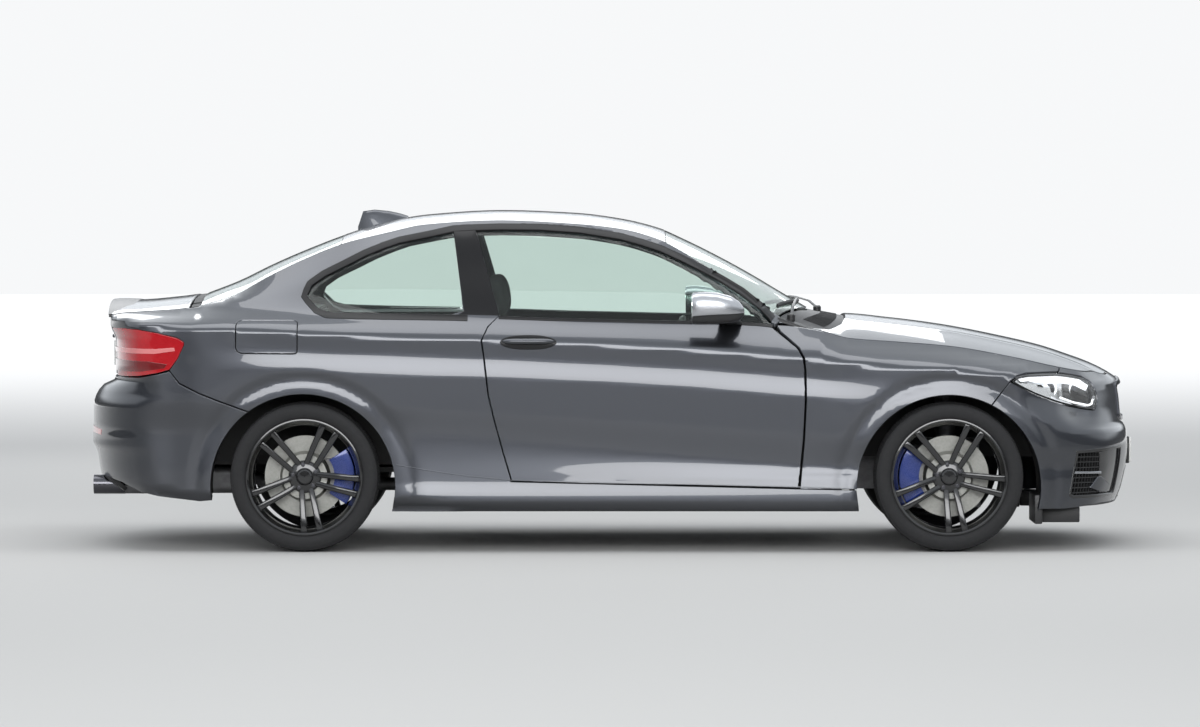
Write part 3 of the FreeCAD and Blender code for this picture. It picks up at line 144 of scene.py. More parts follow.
def flankY(x, z):  # half width of the whole side at a station and a height
    x, z = lined(x, z)
    under, side, crease, top = underZ(x), halfWidth - sideIn(x), halfWidth - creaseIn(x), creaseZ(x)
    cabin = (x > cabinFrom) & (x < cabinTo)
    lastY = np.where(cabin, beltY(x), halfWidth - edgeIn(x))
    lastZ = np.where(cabin, beltZ(x), edgeZ(x))
    ry = np.where(cabin, railY(x), lastY - 25)
    rz = np.where(cabin, np.maximum(railZ(x), lastZ + 8), lastZ + 14)
    ty = np.where(cabin, railTopY(x), lastY - 60)
    tz = np.where(cabin, np.maximum(railTopZ(x), rz + 6), lastZ + 26)
    fade = smooth((1150 - x) / 350) * smooth((x + 1900) / 500)
    flare = smooth((x + 1000) / 250) * smooth((1080 - x) / 100)  # the sill swells between the wheels
    low = np.maximum(300, under + 80)
    ridge = np.maximum(np.interp(x, (-900, -650, 0, 800, 1100), (500, 490, 428, 360, 345)), low + 50)
    middle = (ridge + top - 165) / 2
    knots = np.array([under, under + 45, low, ridge, middle, top - 165, top - 62, top - 3, lastZ, rz, tz])
    knots = np.maximum.accumulate(knots + np.arange(11)[:, None] * 1e-3)
    widths = [side - 50 + 17 * flare, side - 12 + 24 * flare, side - 12 + 14 * flare, side - 14 + 5 * flare,
              side - 7 * fade, side - 7 * fade - 2 * (1 - fade), crease + 2 - 11 * fade, crease - 8 * fade,
              lastY, ry, ty]
    y = monotone(knots, np.array(widths), z)
    for cx, cz in (frontArch, rearArch):  # a shallow groove round each wheel arch
        away = np.hypot(x - cx, z - cz) - archRadius
        y = y - 5 * bump((away - 62) / 26) * (z < top)
    return y


def lower(a, b, radius=36):  # the smaller of two values, eased where they meet
    h = np.maximum(radius - np.abs(a - b), 0) / radius
    return np.minimum(a, b) - h * h * radius / 4


def wrap(end):  # the end's skin over q, the way round from the centre line, and height
    start, tip = ends[end]

    def surface(q, z):
        q, z = lined(q, z)
        angle = np.clip(np.abs(q) / wrapLength, 0, 1) * math.pi / 2
        n = square[end](z)
        length = np.abs(tip + reach[end](z) - start)
        out = length * np.maximum(np.cos(angle), 0) ** (2 / n) - np.maximum(np.abs(q) - wrapLength, 0)
        x = start + end * out
        around = car["wrapWidth"] * np.sin(angle) ** (2 / n)
        y = np.where(np.abs(q) > wrapLength, flankY(x, z), lower(flankY(x, z), around))
        return np.stack([x, np.maximum(y, 0) * np.where(q < 0, -1, 1), z], 1)
    return surface


nose, tail = wrap(front), wrap(rear)
skins = {front: nose, rear: tail}


def side(x, z):
    x, z = lined(x, z)
    return np.stack([x, flankY(x, z), z], 1)


def inFlat(y):  # an upright plane along the car
    def surface(x, z):
        x, z = lined(x, z)
        return np.stack([x, y + 0 * x, z], 1)
    return surface


def qFromX(end, x, z):
    start, tip = ends[end]
    beyond = (start - x) * end
    if beyond >= 0:
        return wrapLength + beyond
    length = abs(tip + float(reach[end](z)[0]) - start)
    part = min(-beyond / length, 1)
    return wrapLength * math.acos(part ** (float(square[end](z)[0]) / 2)) / (math.pi / 2)


def qFromY(end, y, z):
    low, high = 0.0, float(wrapLength)
    for _ in range(26):
        middle = (low + high) / 2
        low, high = (middle, high) if skins[end](middle, z)[0, 1] < y else (low, middle)
    return low


def deckZ(x, y):  # hood and lid height
    edge = halfWidth - edgeIn(x)
    s = np.minimum(np.abs(y) / edge, 1.06)
    rise = crownZ(x) - edgeZ(x)
    dome = 3.5 * bump((np.abs(y) - 395 - 0.05 * (x - 1400)) / 42) * smooth((x - 960) / 200)
    return crownZ(x) - rise * s ** 2.1 + dome


def canopyZ(x, y):  # roof, windscreen and rear window height
    s = np.minimum(np.abs(y) / railTopY(x), 1.04)
    return roofZ(x) - (roofZ(x) - railTopZ(x)) * s ** 2.35


def heightAt(height, x, y):
    return float(height(np.array([x]), np.array([y]))[0])


def top(height, drop=0.0):
    def surface(x, y):
        x, y = lined(x, y)
        return np.stack([x, y, height(x, y) - drop], 1)
    return surface


def normalsOf(surface, u, v, step=1.5):
    across = surface(u + step, v) - surface(u - step, v)
    along = surface(u, v + step) - surface(u, v - step)
    n = np.cross(across, along)
    n /= np.maximum(np.linalg.norm(n, axis=1, keepdims=True), 1e-9)
    p = surface(u, v)
    centre = np.stack([np.clip(p[:, 0], -1500, 1450), np.zeros(len(p)), np.full(len(p), 560.0)], 1)
    return n * (1 if ((p - centre) * n).sum() > 0 else -1)


def offset(surface, distance):  # the same surface moved along its normals
    def moved(u, v):
        u, v = lined(u, v)
        return surface(u, v) + normalsOf(surface, u, v) * distance
    return moved


# Outlines, as lists of points
def at(anchor, points):
    return [(anchor + dx, other) for dx, other in points]


def resample(loop, step, closed=True):  # points no farther apart than the step
    following = loop[1:] + (loop[:1] if closed else [])
    points = []
    for (ax, ay), (bx, by) in zip(loop, following):
        pieces = max(1, math.ceil(math.hypot(bx - ax, by - ay) / step))
        points += [(ax + (bx - ax) * i / pieces, ay + (by - ay) * i / pieces) for i in range(pieces)]
    return points if closed else points + [loop[-1]]


def signedArea(loop):
    return sum(a[0] * b[1] - b[0] * a[1] for a, b in zip(loop, loop[1:] + loop[:1])) / 2


def softened(loop, share=0.22):  # takes the hard corners off a drawn outline
    cut = []
    for a, b in zip(loop, loop[1:] + loop[:1]):
        cut.append((a[0] * (1 - share) + b[0] * share, a[1] * (1 - share) + b[1] * share))
        cut.append((a[0] * share + b[0] * (1 - share), a[1] * share + b[1] * (1 - share)))
    return cut


def grown(loop, distance):
    points = np.array(loop, float)
    before, after = np.roll(points, 1, 0), np.roll(points, -1, 0)
    a, b = points - before, after - points
    a /= np.maximum(np.linalg.norm(a, axis=1, keepdims=True), 1e-9)
    b /= np.maximum(np.linalg.norm(b, axis=1, keepdims=True), 1e-9)
    na, nb = np.stack([a[:, 1], -a[:, 0]], 1), np.stack([b[:, 1], -b[:, 0]], 1)
    way = na + nb
    way /= np.maximum((way * na).sum(1, keepdims=True), 0.35)
    sign = 1 if signedArea(loop) > 0 else -1
    return [tuple(p) for p in points + way * distance * sign]


def inside(points, loop):
    points, found = np.asarray(points, float), np.zeros(len(points), bool)
    for (ax, ay), (bx, by) in zip(loop, loop[1:] + loop[:1]):
        if ay == by:
            continue
        crosses = (ay > points[:, 1]) != (by > points[:, 1])
        found ^= crosses & (points[:, 0] < ax + (points[:, 1] - ay) * (bx - ax) / (by - ay))
    return found


def arc(centre, radius, a0, a1, count, squash=1.0):
    angles = [math.radians(a0 + (a1 - a0) * i / count) for i in range(count + 1)]
    return [(centre[0] + radius * math.cos(a), centre[1] + radius * squash * math.sin(a)) for a in angles]


def roundTurn(count, first=0.0):  # angles once round
    return np.linspace(first, first + 2 * math.pi, count, endpoint=False)


def boxy(value, power):  # a cosine or sine pushed towards a square corner
    return math.copysign(abs(value) ** power, value)


def both(half):  # a half outline from centre to centre, closed through its mirror image
    return half + mirroredQ([p for p in half[::-1] if abs(p[0]) > 1e-6])


def bothY(half):
    return half + [(a, -b) for a, b in half[::-1] if abs(b) > 1e-6]


def mirroredQ(loop):
    return [(-q, z) for q, z in loop]


def around(end, points):  # from x and height to the way round an end
    return [(qFromX(end, x, z), z) for x, z in points]


def intoQ(end, points, step=14.0, closed=False):
    return around(end, resample(points, step, closed))


def facing(end, points, step=20.0):
    return [(qFromY(end, y, z) if y > 1e-6 else 0.0, z) for y, z in resample(points, step, closed=False)]


def stripOf(path, out0, out1):  # a band beside an open path, for a panel's outline
    points = np.array(path, float)
    way = np.gradient(points, axis=0)
    way /= np.maximum(np.linalg.norm(way, axis=1, keepdims=True), 1e-9)
    n = np.stack([way[:, 1], -way[:, 0]], 1)
    return [tuple(p) for p in points + n * out0] + [tuple(p) for p in (points + n * out1)[::-1]]


# Meshes
def meshObject(name, points, faces, material, normals=None, smoothAll=True):
    mesh = bpy.data.meshes.new(name)
    mesh.from_pydata([tuple(p) for p in np.asarray(points, float) / 1000], [], [tuple(f) for f in faces])
    mesh.materials.append(material)
    if smoothAll:
        mesh.shade_smooth()
    mesh.update()
    if normals is not None:
        mesh.normals_split_custom_set_from_vertices([tuple(n) for n in normals])
    item = bpy.data.objects.new(name, mesh)
    bpy.context.scene.collection.objects.link(item)
    return item


def rides(item, body, *nodes):
    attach(item, body)
    if nodes:
        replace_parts(item, *nodes)
    return item


def turnedTo(sign, loop):
    return loop if signedArea(loop) * sign >= 0 else loop[::-1]


def withinLoops(points, loops):  # inside the outline and outside its holes
    keep = inside(points, loops[0])
    for hole in loops[1:]:
        keep &= ~inside(points, hole)
    return keep


def gridPoints(loops, inner, spacing):  # a staggered grid, well clear of the edges
    box = np.array(loops[0])
    us = np.arange(box[:, 0].min() + spacing / 2, box[:, 0].max(), spacing)
    vs = np.arange(box[:, 1].min() + spacing / 2, box[:, 1].max(), spacing)
    grid = np.array([(u + (spacing / 2 if j % 2 else 0), v) for j, v in enumerate(vs) for u in us])
    if len(grid):
        grid = grid[withinLoops(grid, loops)]
    if len(grid):
        near = np.concatenate([np.array(ring) for ring in inner])
        gaps = np.sqrt(((grid[:, None, :] - near[None]) ** 2).sum(2)).min(1)
        grid = grid[gaps > spacing * 0.45]
    return grid


def trimmed(loops, inner, spacing):  # flat points and faces between the outline and its holes
    flat, edges = [], []
    for ring in loops + inner:
        first = len(flat)
        flat += [Vector(p) for p in ring]
        edges += [(first + i, first + (i + 1) % len(ring)) for i in range(len(ring))]
    flat += [Vector(p) for p in gridPoints(loops, inner, spacing)]
    points, _, faces, *_ = delaunay_2d_cdt(flat, edges, [], 0, 1e-4)
    points = np.array([(p.x, p.y) for p in points])
    faces = [f if signedArea([tuple(points[i]) for i in f]) > 0 else f[::-1] for f in faces]
    middles = np.array([points[list(f)].mean(0) for f in faces])
    faces = [list(f) for f, kept in zip(faces, withinLoops(middles, loops)) if kept]
    used = sorted({i for f in faces for i in f})
    index = {old: new for new, old in enumerate(used)}
    return points[used], [[index[i] for i in f] for f in faces]


def rimEdges(faces):
    count = {}
    for f in faces:
        for a, b in zip(f, f[1:] + f[:1]):
            count[(a, b)] = count.get((a, b), 0) + 1
    return [(a, b) for (a, b) in count if (b, a) not in count]


def panelMesh(surface, outline, holes=(), spacing=24.0, depth=12.0, lip=2.2, inward=None):
    # a panel trimmed over the surface, with its edges folded in, as points, faces and normals
    loops = [turnedTo(1, resample(list(outline), min(spacing * 0.6, 14)))]
    loops += [turnedTo(-1, resample(list(hole), min(spacing * 0.6, 12))) for hole in holes]
    inner = [grown(loop, lip if k else -lip) for k, loop in enumerate(loops)]
    flat, faces = trimmed(loops, inner, spacing)
    rim = rimEdges(faces)
    u, v = flat[:, 0], flat[:, 1]
    shape, normals = surface(u, v), normalsOf(surface, u, v)
    a, b, c = (shape[[f[k] for f in faces]] for k in range(3))
    if (np.cross(b - a, c - a) * normals[[f[0] for f in faces]]).sum() <= 0:
        faces = [f[::-1] for f in faces]
        rim = [(b, a) for a, b in rim]
    total = len(shape)
    push = -normals if inward is None else inward(shape)
    outward = np.zeros_like(shape)
    for a, b in rim:
        way = np.cross(shape[b] - shape[a], normals[a])
        way /= max(np.linalg.norm(way), 1e-9)
        outward[a] += way
        outward[b] += way
    onRim = np.zeros(total, bool)
    onRim[[a for pair in rim for a in pair]] = True
    shape[onRim] -= normals[onRim] * min(lip * 0.45, 1.0)
    frontNormals, backNormals = normals.copy(), -normals
    frontNormals[onRim] = normals[onRim] * 0.75 + outward[onRim] * 0.5
    backNormals[onRim] = outward[onRim]
    allNormals = np.concatenate([frontNormals, backNormals])
    allNormals /= np.maximum(np.linalg.norm(allNormals, axis=1, keepdims=True), 1e-9)
    allFaces = faces + [[i + total for i in f[::-1]] for f in faces]
    allFaces += [[b, a, a + total, b + total] for a, b in rim]
    return np.concatenate([shape, shape + push * depth]), allFaces, allNormals


def mirror(made):
    points, faces, normals = made
    flip = np.array([1, -1, 1])
    return points * flip, [list(f)[::-1] for f in faces], normals * flip


def panel(name, made, material, body, *nodes):
    points, faces, normals = made
    return rides(meshObject(name, points, faces, material, normals), body, *nodes)


onBody = ("body", "body")
onDoors = ("door_left", "door_right")
hands = (("left", 1), ("right", -1))


def pairOf(name, made, material, bodies=onBody, node=None):  # the same panel on both sides
    pieces = []
    for (hand, sign), body in zip(hands, bodies):
        nodes = [f"{node}_{hand}"] if node else []
        pieces.append(panel(name + hand.title(), made if sign > 0 else mirror(made), material, body, *nodes))
    return pieces


def joined(parts):
    points, faces, start = [], [], 0
    for some, sides in parts:
        points.append(np.asarray(some, float))
        faces += [[i + start for i in f] for f in sides]
        start += len(some)
    return np.concatenate(points), faces


def loft(sections, capped=True):  # a skin through closed rings that have the same count of points
    count = len(sections[0])
    points = np.concatenate([np.asarray(s, float) for s in sections])
    faces = []
    for k in range(len(sections) - 1):
        for i in range(count):
            a, b = k * count + i, k * count + (i + 1) % count
            faces.append([a, b, b + count, a + count])
    if capped:
        faces += [list(range(count))[::-1], [i + count * (len(sections) - 1) for i in range(count)]]
    return points, faces


def turned(profile, segments, axis="y", centre=(0, 0, 0)):  # profile of radius and place along the axis
    sections = []
    for a in (2 * math.pi * k / segments for k in range(segments)):
        c, s = math.cos(a), math.sin(a)
        ring = [(r * c, w, r * s) if axis == "y" else (w, r * c, r * s) for r, w in profile]
        sections.append(np.array(ring) + centre)
    points, faces = loft(sections + sections[:1], capped=False)
    total = len(profile) * segments
    return points[:total], [[i % total for i in f] for f in faces]


def outwardNormals(item):  # after turning or mirroring, so that every face looks out
    mesh = bmesh.new()
    mesh.from_mesh(item.data)
    bmesh.ops.recalc_face_normals(mesh, faces=mesh.faces)
    mesh.to_mesh(item.data)
    mesh.free()
    return item


def evaluated(item):
    return bpy.data.meshes.new_from_object(item.evaluated_get(bpy.context.evaluated_depsgraph_get()))


def solidPiece(name, made, material, body, *nodes, angle=35, rounded=0.0):  # sharp edges kept or bevelled
    item = outwardNormals(meshObject(name, *made, material))
    if rounded:
        bevel = item.modifiers.new("Edges", "BEVEL")
        bevel.width, bevel.segments, bevel.limit_method = rounded / 1000, 2, "ANGLE"
        item.data = evaluated(item)
        item.modifiers.clear()
    item.data.set_sharp_from_angle(angle=math.radians(angle))
    return rides(item, body, *nodes)


def solidPairs(rows, bodies=onBody):  # the same solids on both sides: name, form, material, node and finish
    pieces = []
    for (hand, sign), body in zip(hands, bodies):
        for name, (points, faces), material, node, finish in rows:
            nodes = [f"{node}_{hand}"] if node else []
            made = np.array(points) * np.array([1, sign, 1]), faces
            pieces.append(solidPiece(name + hand.title(), made, material, body, *nodes, **finish))
    return pieces


def solidPair(name, made, material, bodies=onBody, **finish):
    return solidPairs([(name, made, material, None, finish)], bodies)


def boxPart(x0, x1, y0, y1, z0, z1):
    points = [(x, y, z) for x in (x0, x1) for y in (y0, y1) for z in (z0, z1)]
    return points, [[0, 1, 3, 2], [4, 6, 7, 5], [0, 4, 5, 1], [2, 3, 7, 6], [0, 2, 6, 4], [1, 5, 7, 3]]


def tube(path, radius, sides, flat=1.0):
    path = np.array(path, float)
    sections = []
    for i, p in enumerate(path):
        way = path[min(i + 1, len(path) - 1)] - path[max(i - 1, 0)]
        way /= np.linalg.norm(way)
        up = np.array([0, 0, 1.0]) if abs(way[2]) < 0.9 else np.array([1.0, 0, 0])
        a = np.cross(way, up)
        a /= np.linalg.norm(a)
        b = np.cross(a, way)
        sections.append([p + radius * (math.cos(t) * a + flat * math.sin(t) * b) for t in roundTurn(sides)])
    return loft(sections)


# Materials
def addNode(tree, kind, settings=None, **inputs):  # an input's name with _ for a space, or i and its number
    made = tree.nodes.new(kind)
    for key, value in (settings or {}).items():
        setattr(made, key, value)
    for key, value in inputs.items():
        socket = made.inputs[int(key[1:]) if key[1:].isdigit() else key.replace("_", " ")]
        if isinstance(value, Signal):
            tree.links.new(value.socket, socket)
        else:
            socket.default_value = value
    return made


class Signal:  # a node's output that takes plain arithmetic
    def __init__(self, tree, socket):
        self.tree, self.socket = tree, socket

    def math(self, operation, a, b):
        made = addNode(self.tree, "ShaderNodeMath", {"operation": operation}, i0=a, i1=b)
        return Signal(self.tree, made.outputs[0])

    def __add__(self, other):
        return self.math("ADD", self, other)

    def __mul__(self, other):
        return self.math("MULTIPLY", self, other)

    def __truediv__(self, other):
        return self.math("DIVIDE", self, other)

    def __rtruediv__(self, other):
        return self.math("DIVIDE", other, self)

    __radd__, __rmul__ = __add__, __mul__


class Shader:
    def __init__(self, name, colour, roughness=0.5, metallic=0.0, **values):
        self.material = bpy.data.materials.new(name)
        self.material.use_nodes = True
        self.tree = self.material.node_tree
        self.base = self.tree.nodes["Principled BSDF"]
        self.base.inputs["Base Color"].default_value = (*colour, 1)
        self.base.inputs["Roughness"].default_value = roughness
        self.base.inputs["Metallic"].default_value = metallic
        for key, value in values.items():
            self.base.inputs[key.replace("_", " ")].default_value = value

    def node(self, kind, out=0, settings=None, **inputs):
        made = addNode(self.tree, "ShaderNode" + kind, settings, **inputs)
        return Signal(self.tree, made.outputs[out])

    def place(self):
        return self.node("TexCoord", "Object")

    def noise(self, scale, detail=3.0, stretch=(1, 1, 1)):
        spread = self.node("Mapping", Vector=self.place(), Scale=stretch)
        return self.node("TexNoise", Vector=spread, Scale=scale, Detail=detail)

    def wave(self, scale, direction, distortion):
        return self.node("TexWave", 1, {"bands_direction": direction}, Vector=self.place(), Scale=scale,
                         Distortion=distortion)

    def feed(self, name, signal):
        self.tree.links.new(signal.socket, self.base.inputs[name])
        return self

    def bump(self, height, strength=0.2, distance=0.001):
        return self.feed("Normal", self.node("Bump", Height=height, Strength=strength, Distance=distance))

    def tint(self, factor, darker, lighter, name="Base Color"):
        mixed = self.node("Mix", 2, {"data_type": "RGBA"}, i0=factor, i6=(*darker, 1), i7=(*lighter, 1))
        return self.feed(name, mixed)


def shades(colour, spread):
    return tuple(c * (1 - spread) for c in colour), tuple(min(1, c * (1 + spread)) for c in colour)


def plain(name, colour, roughness, metallic=0.0, grain=400.0, strength=0.08, spread=0.08, **values):
    made = Shader(name, colour, roughness, metallic, **values)
    grainy = made.noise(grain)
    made.tint(grainy, *shades(colour, spread))
    made.feed("Roughness", grainy * 0.12 + (roughness - 0.06))
    made.bump(grainy, strength, 0.0006)
    return made.material


def mottled(name, roughness, metallic, patches, darker, lighter, grain, strength, depth=0.0006):
    made = Shader(name, darker, roughness, metallic)
    made.tint(made.noise(*patches), darker, lighter)
    made.bump(made.noise(*grain), strength, depth)
    return made.material


def clear(name, colour, ior=1.45):
    made = Shader(name, colour, 0.0, Transmission_Weight=1.0, IOR=ior)
    made.tint(made.noise(6.0), *shades(colour, 0.015))
    made.bump(made.noise(3.0, 1.0), 0.01, 0.0004)
    return made.material


def glowing(name, colour, strength):
    made = Shader(name, colour, 0.3, Emission_Strength=strength)
    made.tint(made.noise(300.0), *shades(colour, 0.02))
    made.tint(made.noise(200.0), colour, colour, "Emission Color")
    return made.material


paintShader = Shader("Paint", (0.058, 0.061, 0.071), 0.32, 0.90, Coat_Weight=1.0, Coat_Roughness=0.02)
flake = paintShader.noise(2600.0, 1.0)
paintShader.tint(flake, (0.043, 0.046, 0.053), (0.074, 0.078, 0.090))
paintShader.feed("Roughness", paintShader.noise(900.0, 1.0) * 0.08 + 0.30)
paintShader.bump(paintShader.noise(180.0, 1.0), 0.018, 0.0006)
paint = paintShader.material
glossBlack = plain("GlossBlack", (0.012, 0.012, 0.013), 0.10, grain=220.0, strength=0.02, Coat_Weight=0.7)
rimBlack = plain("RimBlack", (0.014, 0.014, 0.015), 0.17, 0.25, grain=300.0, strength=0.03, Coat_Weight=0.8)
satinBlack = plain("SatinBlack", (0.022, 0.022, 0.023), 0.45, grain=900.0, strength=0.25)
capBlack = plain("CapBlack", (0.02, 0.02, 0.021), 0.32, grain=500.0, strength=0.10)
underBlack = plain("UnderBlack", (0.018, 0.018, 0.018), 0.75, grain=160.0, strength=0.5)
silver = plain("MirrorCap", (0.42, 0.43, 0.45), 0.26, 0.85, grain=700.0, strength=0.04, Coat_Weight=0.8)
trimBlack = plain("TrimBlack", (0.007, 0.007, 0.008), 0.30, grain=300.0, strength=0.04,
                  Specular_IOR_Level=0.25)
darkChrome = plain("DarkChrome", (0.10, 0.10, 0.11), 0.20, 1.0, grain=350.0, strength=0.03)
reflector = plain("Reflector", (0.82, 0.83, 0.85), 0.14, 0.95, grain=120.0, strength=0.12)
caliperBlue = plain("CaliperBlue", (0.008, 0.030, 0.20), 0.28, 0.2, grain=400.0, strength=0.10,
                    Coat_Weight=0.7)
plateWhite = plain("PlateWhite", (0.80, 0.80, 0.78), 0.35, grain=350.0, strength=0.05, spread=0.03)
trimGrey = plain("CabinTrim", (0.030, 0.030, 0.032), 0.60, grain=1400.0, strength=0.5)
headliner = plain("Headliner", (0.34, 0.34, 0.33), 0.85, grain=1800.0, strength=0.4)
mirrorGlass = plain("MirrorGlass", (0.80, 0.82, 0.84), 0.03, 1.0, grain=60.0, strength=0.0, spread=0.02)
redGlow = plain("LampRed", (0.44, 0.006, 0.012), 0.12, grain=90.0, strength=0.05, Coat_Weight=1.0)
redPale = plain("LampBand", (0.72, 0.22, 0.22), 0.16, grain=60.0, strength=0.05, Coat_Weight=1.0)
redDark = plain("LampDark", (0.16, 0.006, 0.008), 0.14, grain=60.0, strength=0.05, Coat_Weight=1.0)
rubber = mottled("Rubber", 0.80, 0.0, (60.0,), (0.008, 0.008, 0.009), (0.015, 0.015, 0.016),
                 (1200.0, 2.0), 0.35, 0.0008)
discSteel = mottled("DiscSteel", 0.36, 0.85, (90.0,), (0.22, 0.22, 0.205), (0.33, 0.33, 0.31),
                    (900.0, 2.0, (1, 0.02, 1)), 0.30)
steel = mottled("Steel", 0.5, 0.8, (35.0,), (0.10, 0.10, 0.105), (0.22, 0.22, 0.225), (260.0,), 0.35, 0.001)
clothShader = Shader("WovenCloth", (0.050, 0.050, 0.053), 0.88)
weave = clothShader.wave(240.0, "X", 0.6) * 0.5 + clothShader.wave(240.0, "Z", 0.6) * 0.5
clothShader.tint(weave, (0.034, 0.034, 0.036), (0.066, 0.066, 0.070))
clothShader.bump(weave, 0.45, 0.0012)
cloth = clothShader.material
windowGlass = clear("WindowGlass", (0.74, 0.83, 0.79), ior=1.30)
lensClear = clear("LensClear", (0.97, 0.98, 0.98))
dayLight = glowing("DayLight", (0.95, 0.97, 1.0), 0.9)

# The solids that stay in sight as they are
bareNodes = {
    underBlack: ("floor_pan", "front_structure", "wheel_liners"),
    steel: ("engine", "exhaust", "front_suspension", "rear_suspension", "knuckle_left", "knuckle_right"),
    trimGrey: ("dashboard", "steering_wheel", "rear_shelf"),
    discSteel: [f"brake_disc_{end}_{hand}" for end in ("front", "rear") for hand, _ in hands],
}
for look, names in bareNodes.items():
    for name in names:
        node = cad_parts[name]
        node.data.materials.clear()
        node.data.materials.append(look)
print("materials ready")


def meeting(end, lowZ, highZ, stopX):  # where the end's skin meets the hood or the lid
    line = []
    for q in np.arange(0, wrapLength, 12.0):
        low, high = lowZ, highZ
        for _ in range(22):
            z = (low + high) / 2
            x, y = skins[end](q, z)[0, :2]
            low, high = (z, high) if heightAt(deckZ, x, y) > z else (low, z)
        if (x - stopX) * end < 0:
            break
        line.append((q, z, x, y))
    return line


def edgeLine(x0, x1, count=30, drop=2.0):
    return [(float(x), float(edgeZ(x)[0]) - drop) for x in np.linspace(x0, x1, count)]


def canopyEdge(x0, x1, inset):
    return [(float(x), float(railTopY(x)[0]) - inset) for x in np.linspace(x0, x1, 30)]


# Outlines in the side view that several pieces share
noseLine = meeting(front, 600, 900, 1878)
tailLine = [p for p in meeting(rear, 800, 1090, -2050) if p[3] < 556]
doorOutline = at(frontAxle, [
    (-1886, 985), (-1922, 940), (-1949, 882), (-1940, 820), (-1920, 653), (-1895, 549), (-1861, 424),
    (-1824, 299), (-632, 269), (-611, 465), (-603, 632), (-605, 757), (-611, 807), (-636, 849), (-674, 882),
    (-715, 915), (-757, 960)])
windowTop = [(672, 962), (626, 1012), (542, 1079), (458, 1129), (374, 1174), (289, 1216), (205, 1254),
             (121, 1281), (37, 1304), (-131, 1331), (-299, 1343), (-468, 1344), (-571, 1341)]
pillarRear = [(-563, 1312), (-512, 1127), (-469, 984)]
quarterTop = [(-664, 1336), (-762, 1314), (-888, 1289), (-951, 1268), (-1035, 1234), (-1119, 1191),
              (-1203, 1149), (-1258, 1110), (-1277, 1066), (-1227, 1013), (-1186, 997), (-1094, 994)]
quarterGlassOutline = at(rearAxle, [
    (616, 1335), (660, 1003), (609, 990), (396, 992), (186, 994), (94, 996), (53, 1013), (5, 1066),
    (22, 1108), (77, 1147), (161, 1189), (245, 1232), (329, 1266), (392, 1287), (518, 1312)])
flapOutline = at(rearAxle, [
    (-30, 835), (-37, 829), (-50, 828), (-262, 830), (-278, 838), (-283, 852), (-283, 945), (-278, 958),
    (-262, 965), (-50, 964), (-37, 962), (-30, 956)])

# Front fenders
fenderRear = [(788, 264), (807, 465), (815, 632), (813, 757), (807, 811), (785, 853), (748, 886), (712, 917),
              (697, 941)]
fenderFront = [(1878, 752), (1869, 749), (1731, 747), (1689, 736), (1656, 704), (1589, 620)]
fender = fenderRear + edgeLine(700, 1878) + fenderFront + arc(frontArch, archRadius, 63, 181, 40)
pairOf("Fender", panelMesh(side, fender, depth=22), paint, node="fender")

# Hood with its rear edge under the windscreen
hoodRear = [(1007, 0), (1000, 250), (976, 450), (916, 620), (838, 684)]
hoodSide = [(x, float(halfWidth - edgeIn(x)[0]) - 3) for x in np.linspace(850, 1870, 40)]
hoodFront = [(x - 3, y - 2 if y > 2 else 0) for q, z, x, y in noseLine[::-1] if x > 1880]
hood = bothY(hoodRear + hoodSide + hoodFront)
panel("Hood", panelMesh(top(deckZ), hood, depth=24, spacing=22), paint, "hood", "hood")

# Front bumper with its openings
upperGrille = facing(front, [(0, 690), (300, 680), (330, 668), (345, 560), (300, 545), (0, 545)])
lowerIntake = facing(front, [(0, 325), (330, 325), (360, 315), (400, 225), (380, 205), (0, 205)])
sideIntake = facing(front, [(535, 229), (528, 330), (520, 426)])
sideIntake += intoQ(front, [(1950, 411), (1950, 400), (1921, 238), (1932, 229)])
bumperTop = [(q, z - 3) for q, z, x, y in noseLine if x > 1880]
bumperSide = [(1880, 745), (1982, 726), (2025, 700), (2047, 652), (2051, 616), (2038, 581), (1982, 588),
              (1919, 601), (1835, 628), (1751, 661), (1664, 707), (1659, 703), (1592, 618)]
bumperLow = [(1790, 178), (1900, 178), (1960, 183), (2065, 193)]
bumperSide += arc(frontArch, archRadius, 62.5, -15.5, 30) + bumperLow
frontBumper = both(bumperTop + intoQ(front, bumperSide) + [(0, 193)])
openings = {"Upper": both(upperGrille), "Lower": both(lowerIntake), "SideLeft": sideIntake,
            "SideRight": mirroredQ(sideIntake)}
bumperMade = panelMesh(nose, frontBumper, openings.values(), depth=26, spacing=22)
panel("FrontBumper", bumperMade, paint, "body", "front_bumper")

# The insides of the openings: pitch, thickness and how deep the bars lie
grille = {
    "frame": {"width": 9, "out": 1.5, "depth": 24, "finish": glossBlack},
    "upperFrame": {"width": 15, "out": 7.0, "depth": 30, "finish": darkChrome},
    "slats": {"pitch": 21, "upperPitch": 17, "thick": 4, "deep": (12, 30)},
    "bars": {"pitch": 24, "thick": 3.5, "deep": (14, 28), "in": ("Upper", "SideLeft", "SideRight")},
    "backDepth": 44,
}


def slats(surface, opening, pitch, thick, deep):  # flat bars across an opening, a little inside it
    loop, parts = np.array(opening), []
    up = np.array([0, 0, thick / 2])
    for z in np.arange(loop[:, 1].min() + pitch * 0.6, loop[:, 1].max() - 2, pitch):
        qs = np.linspace(loop[:, 0].min() - 4, loop[:, 0].max() + 4, 240)
        found = inside(np.stack([qs, np.full(240, z)], 1), grown(opening, 5))
        if found.sum() < 4:
            continue
        qs = np.linspace(qs[found].min(), qs[found].max(), 30)
        line, normal = surface(qs, z), normalsOf(surface, *lined(qs, z))
        parts.append(loft([[p - n * deep[0] + up, p - n * deep[0] - up, p - n * deep[1] - up,
                            p - n * deep[1] + up] for p, n in zip(line, normal)]))
    return joined(parts)


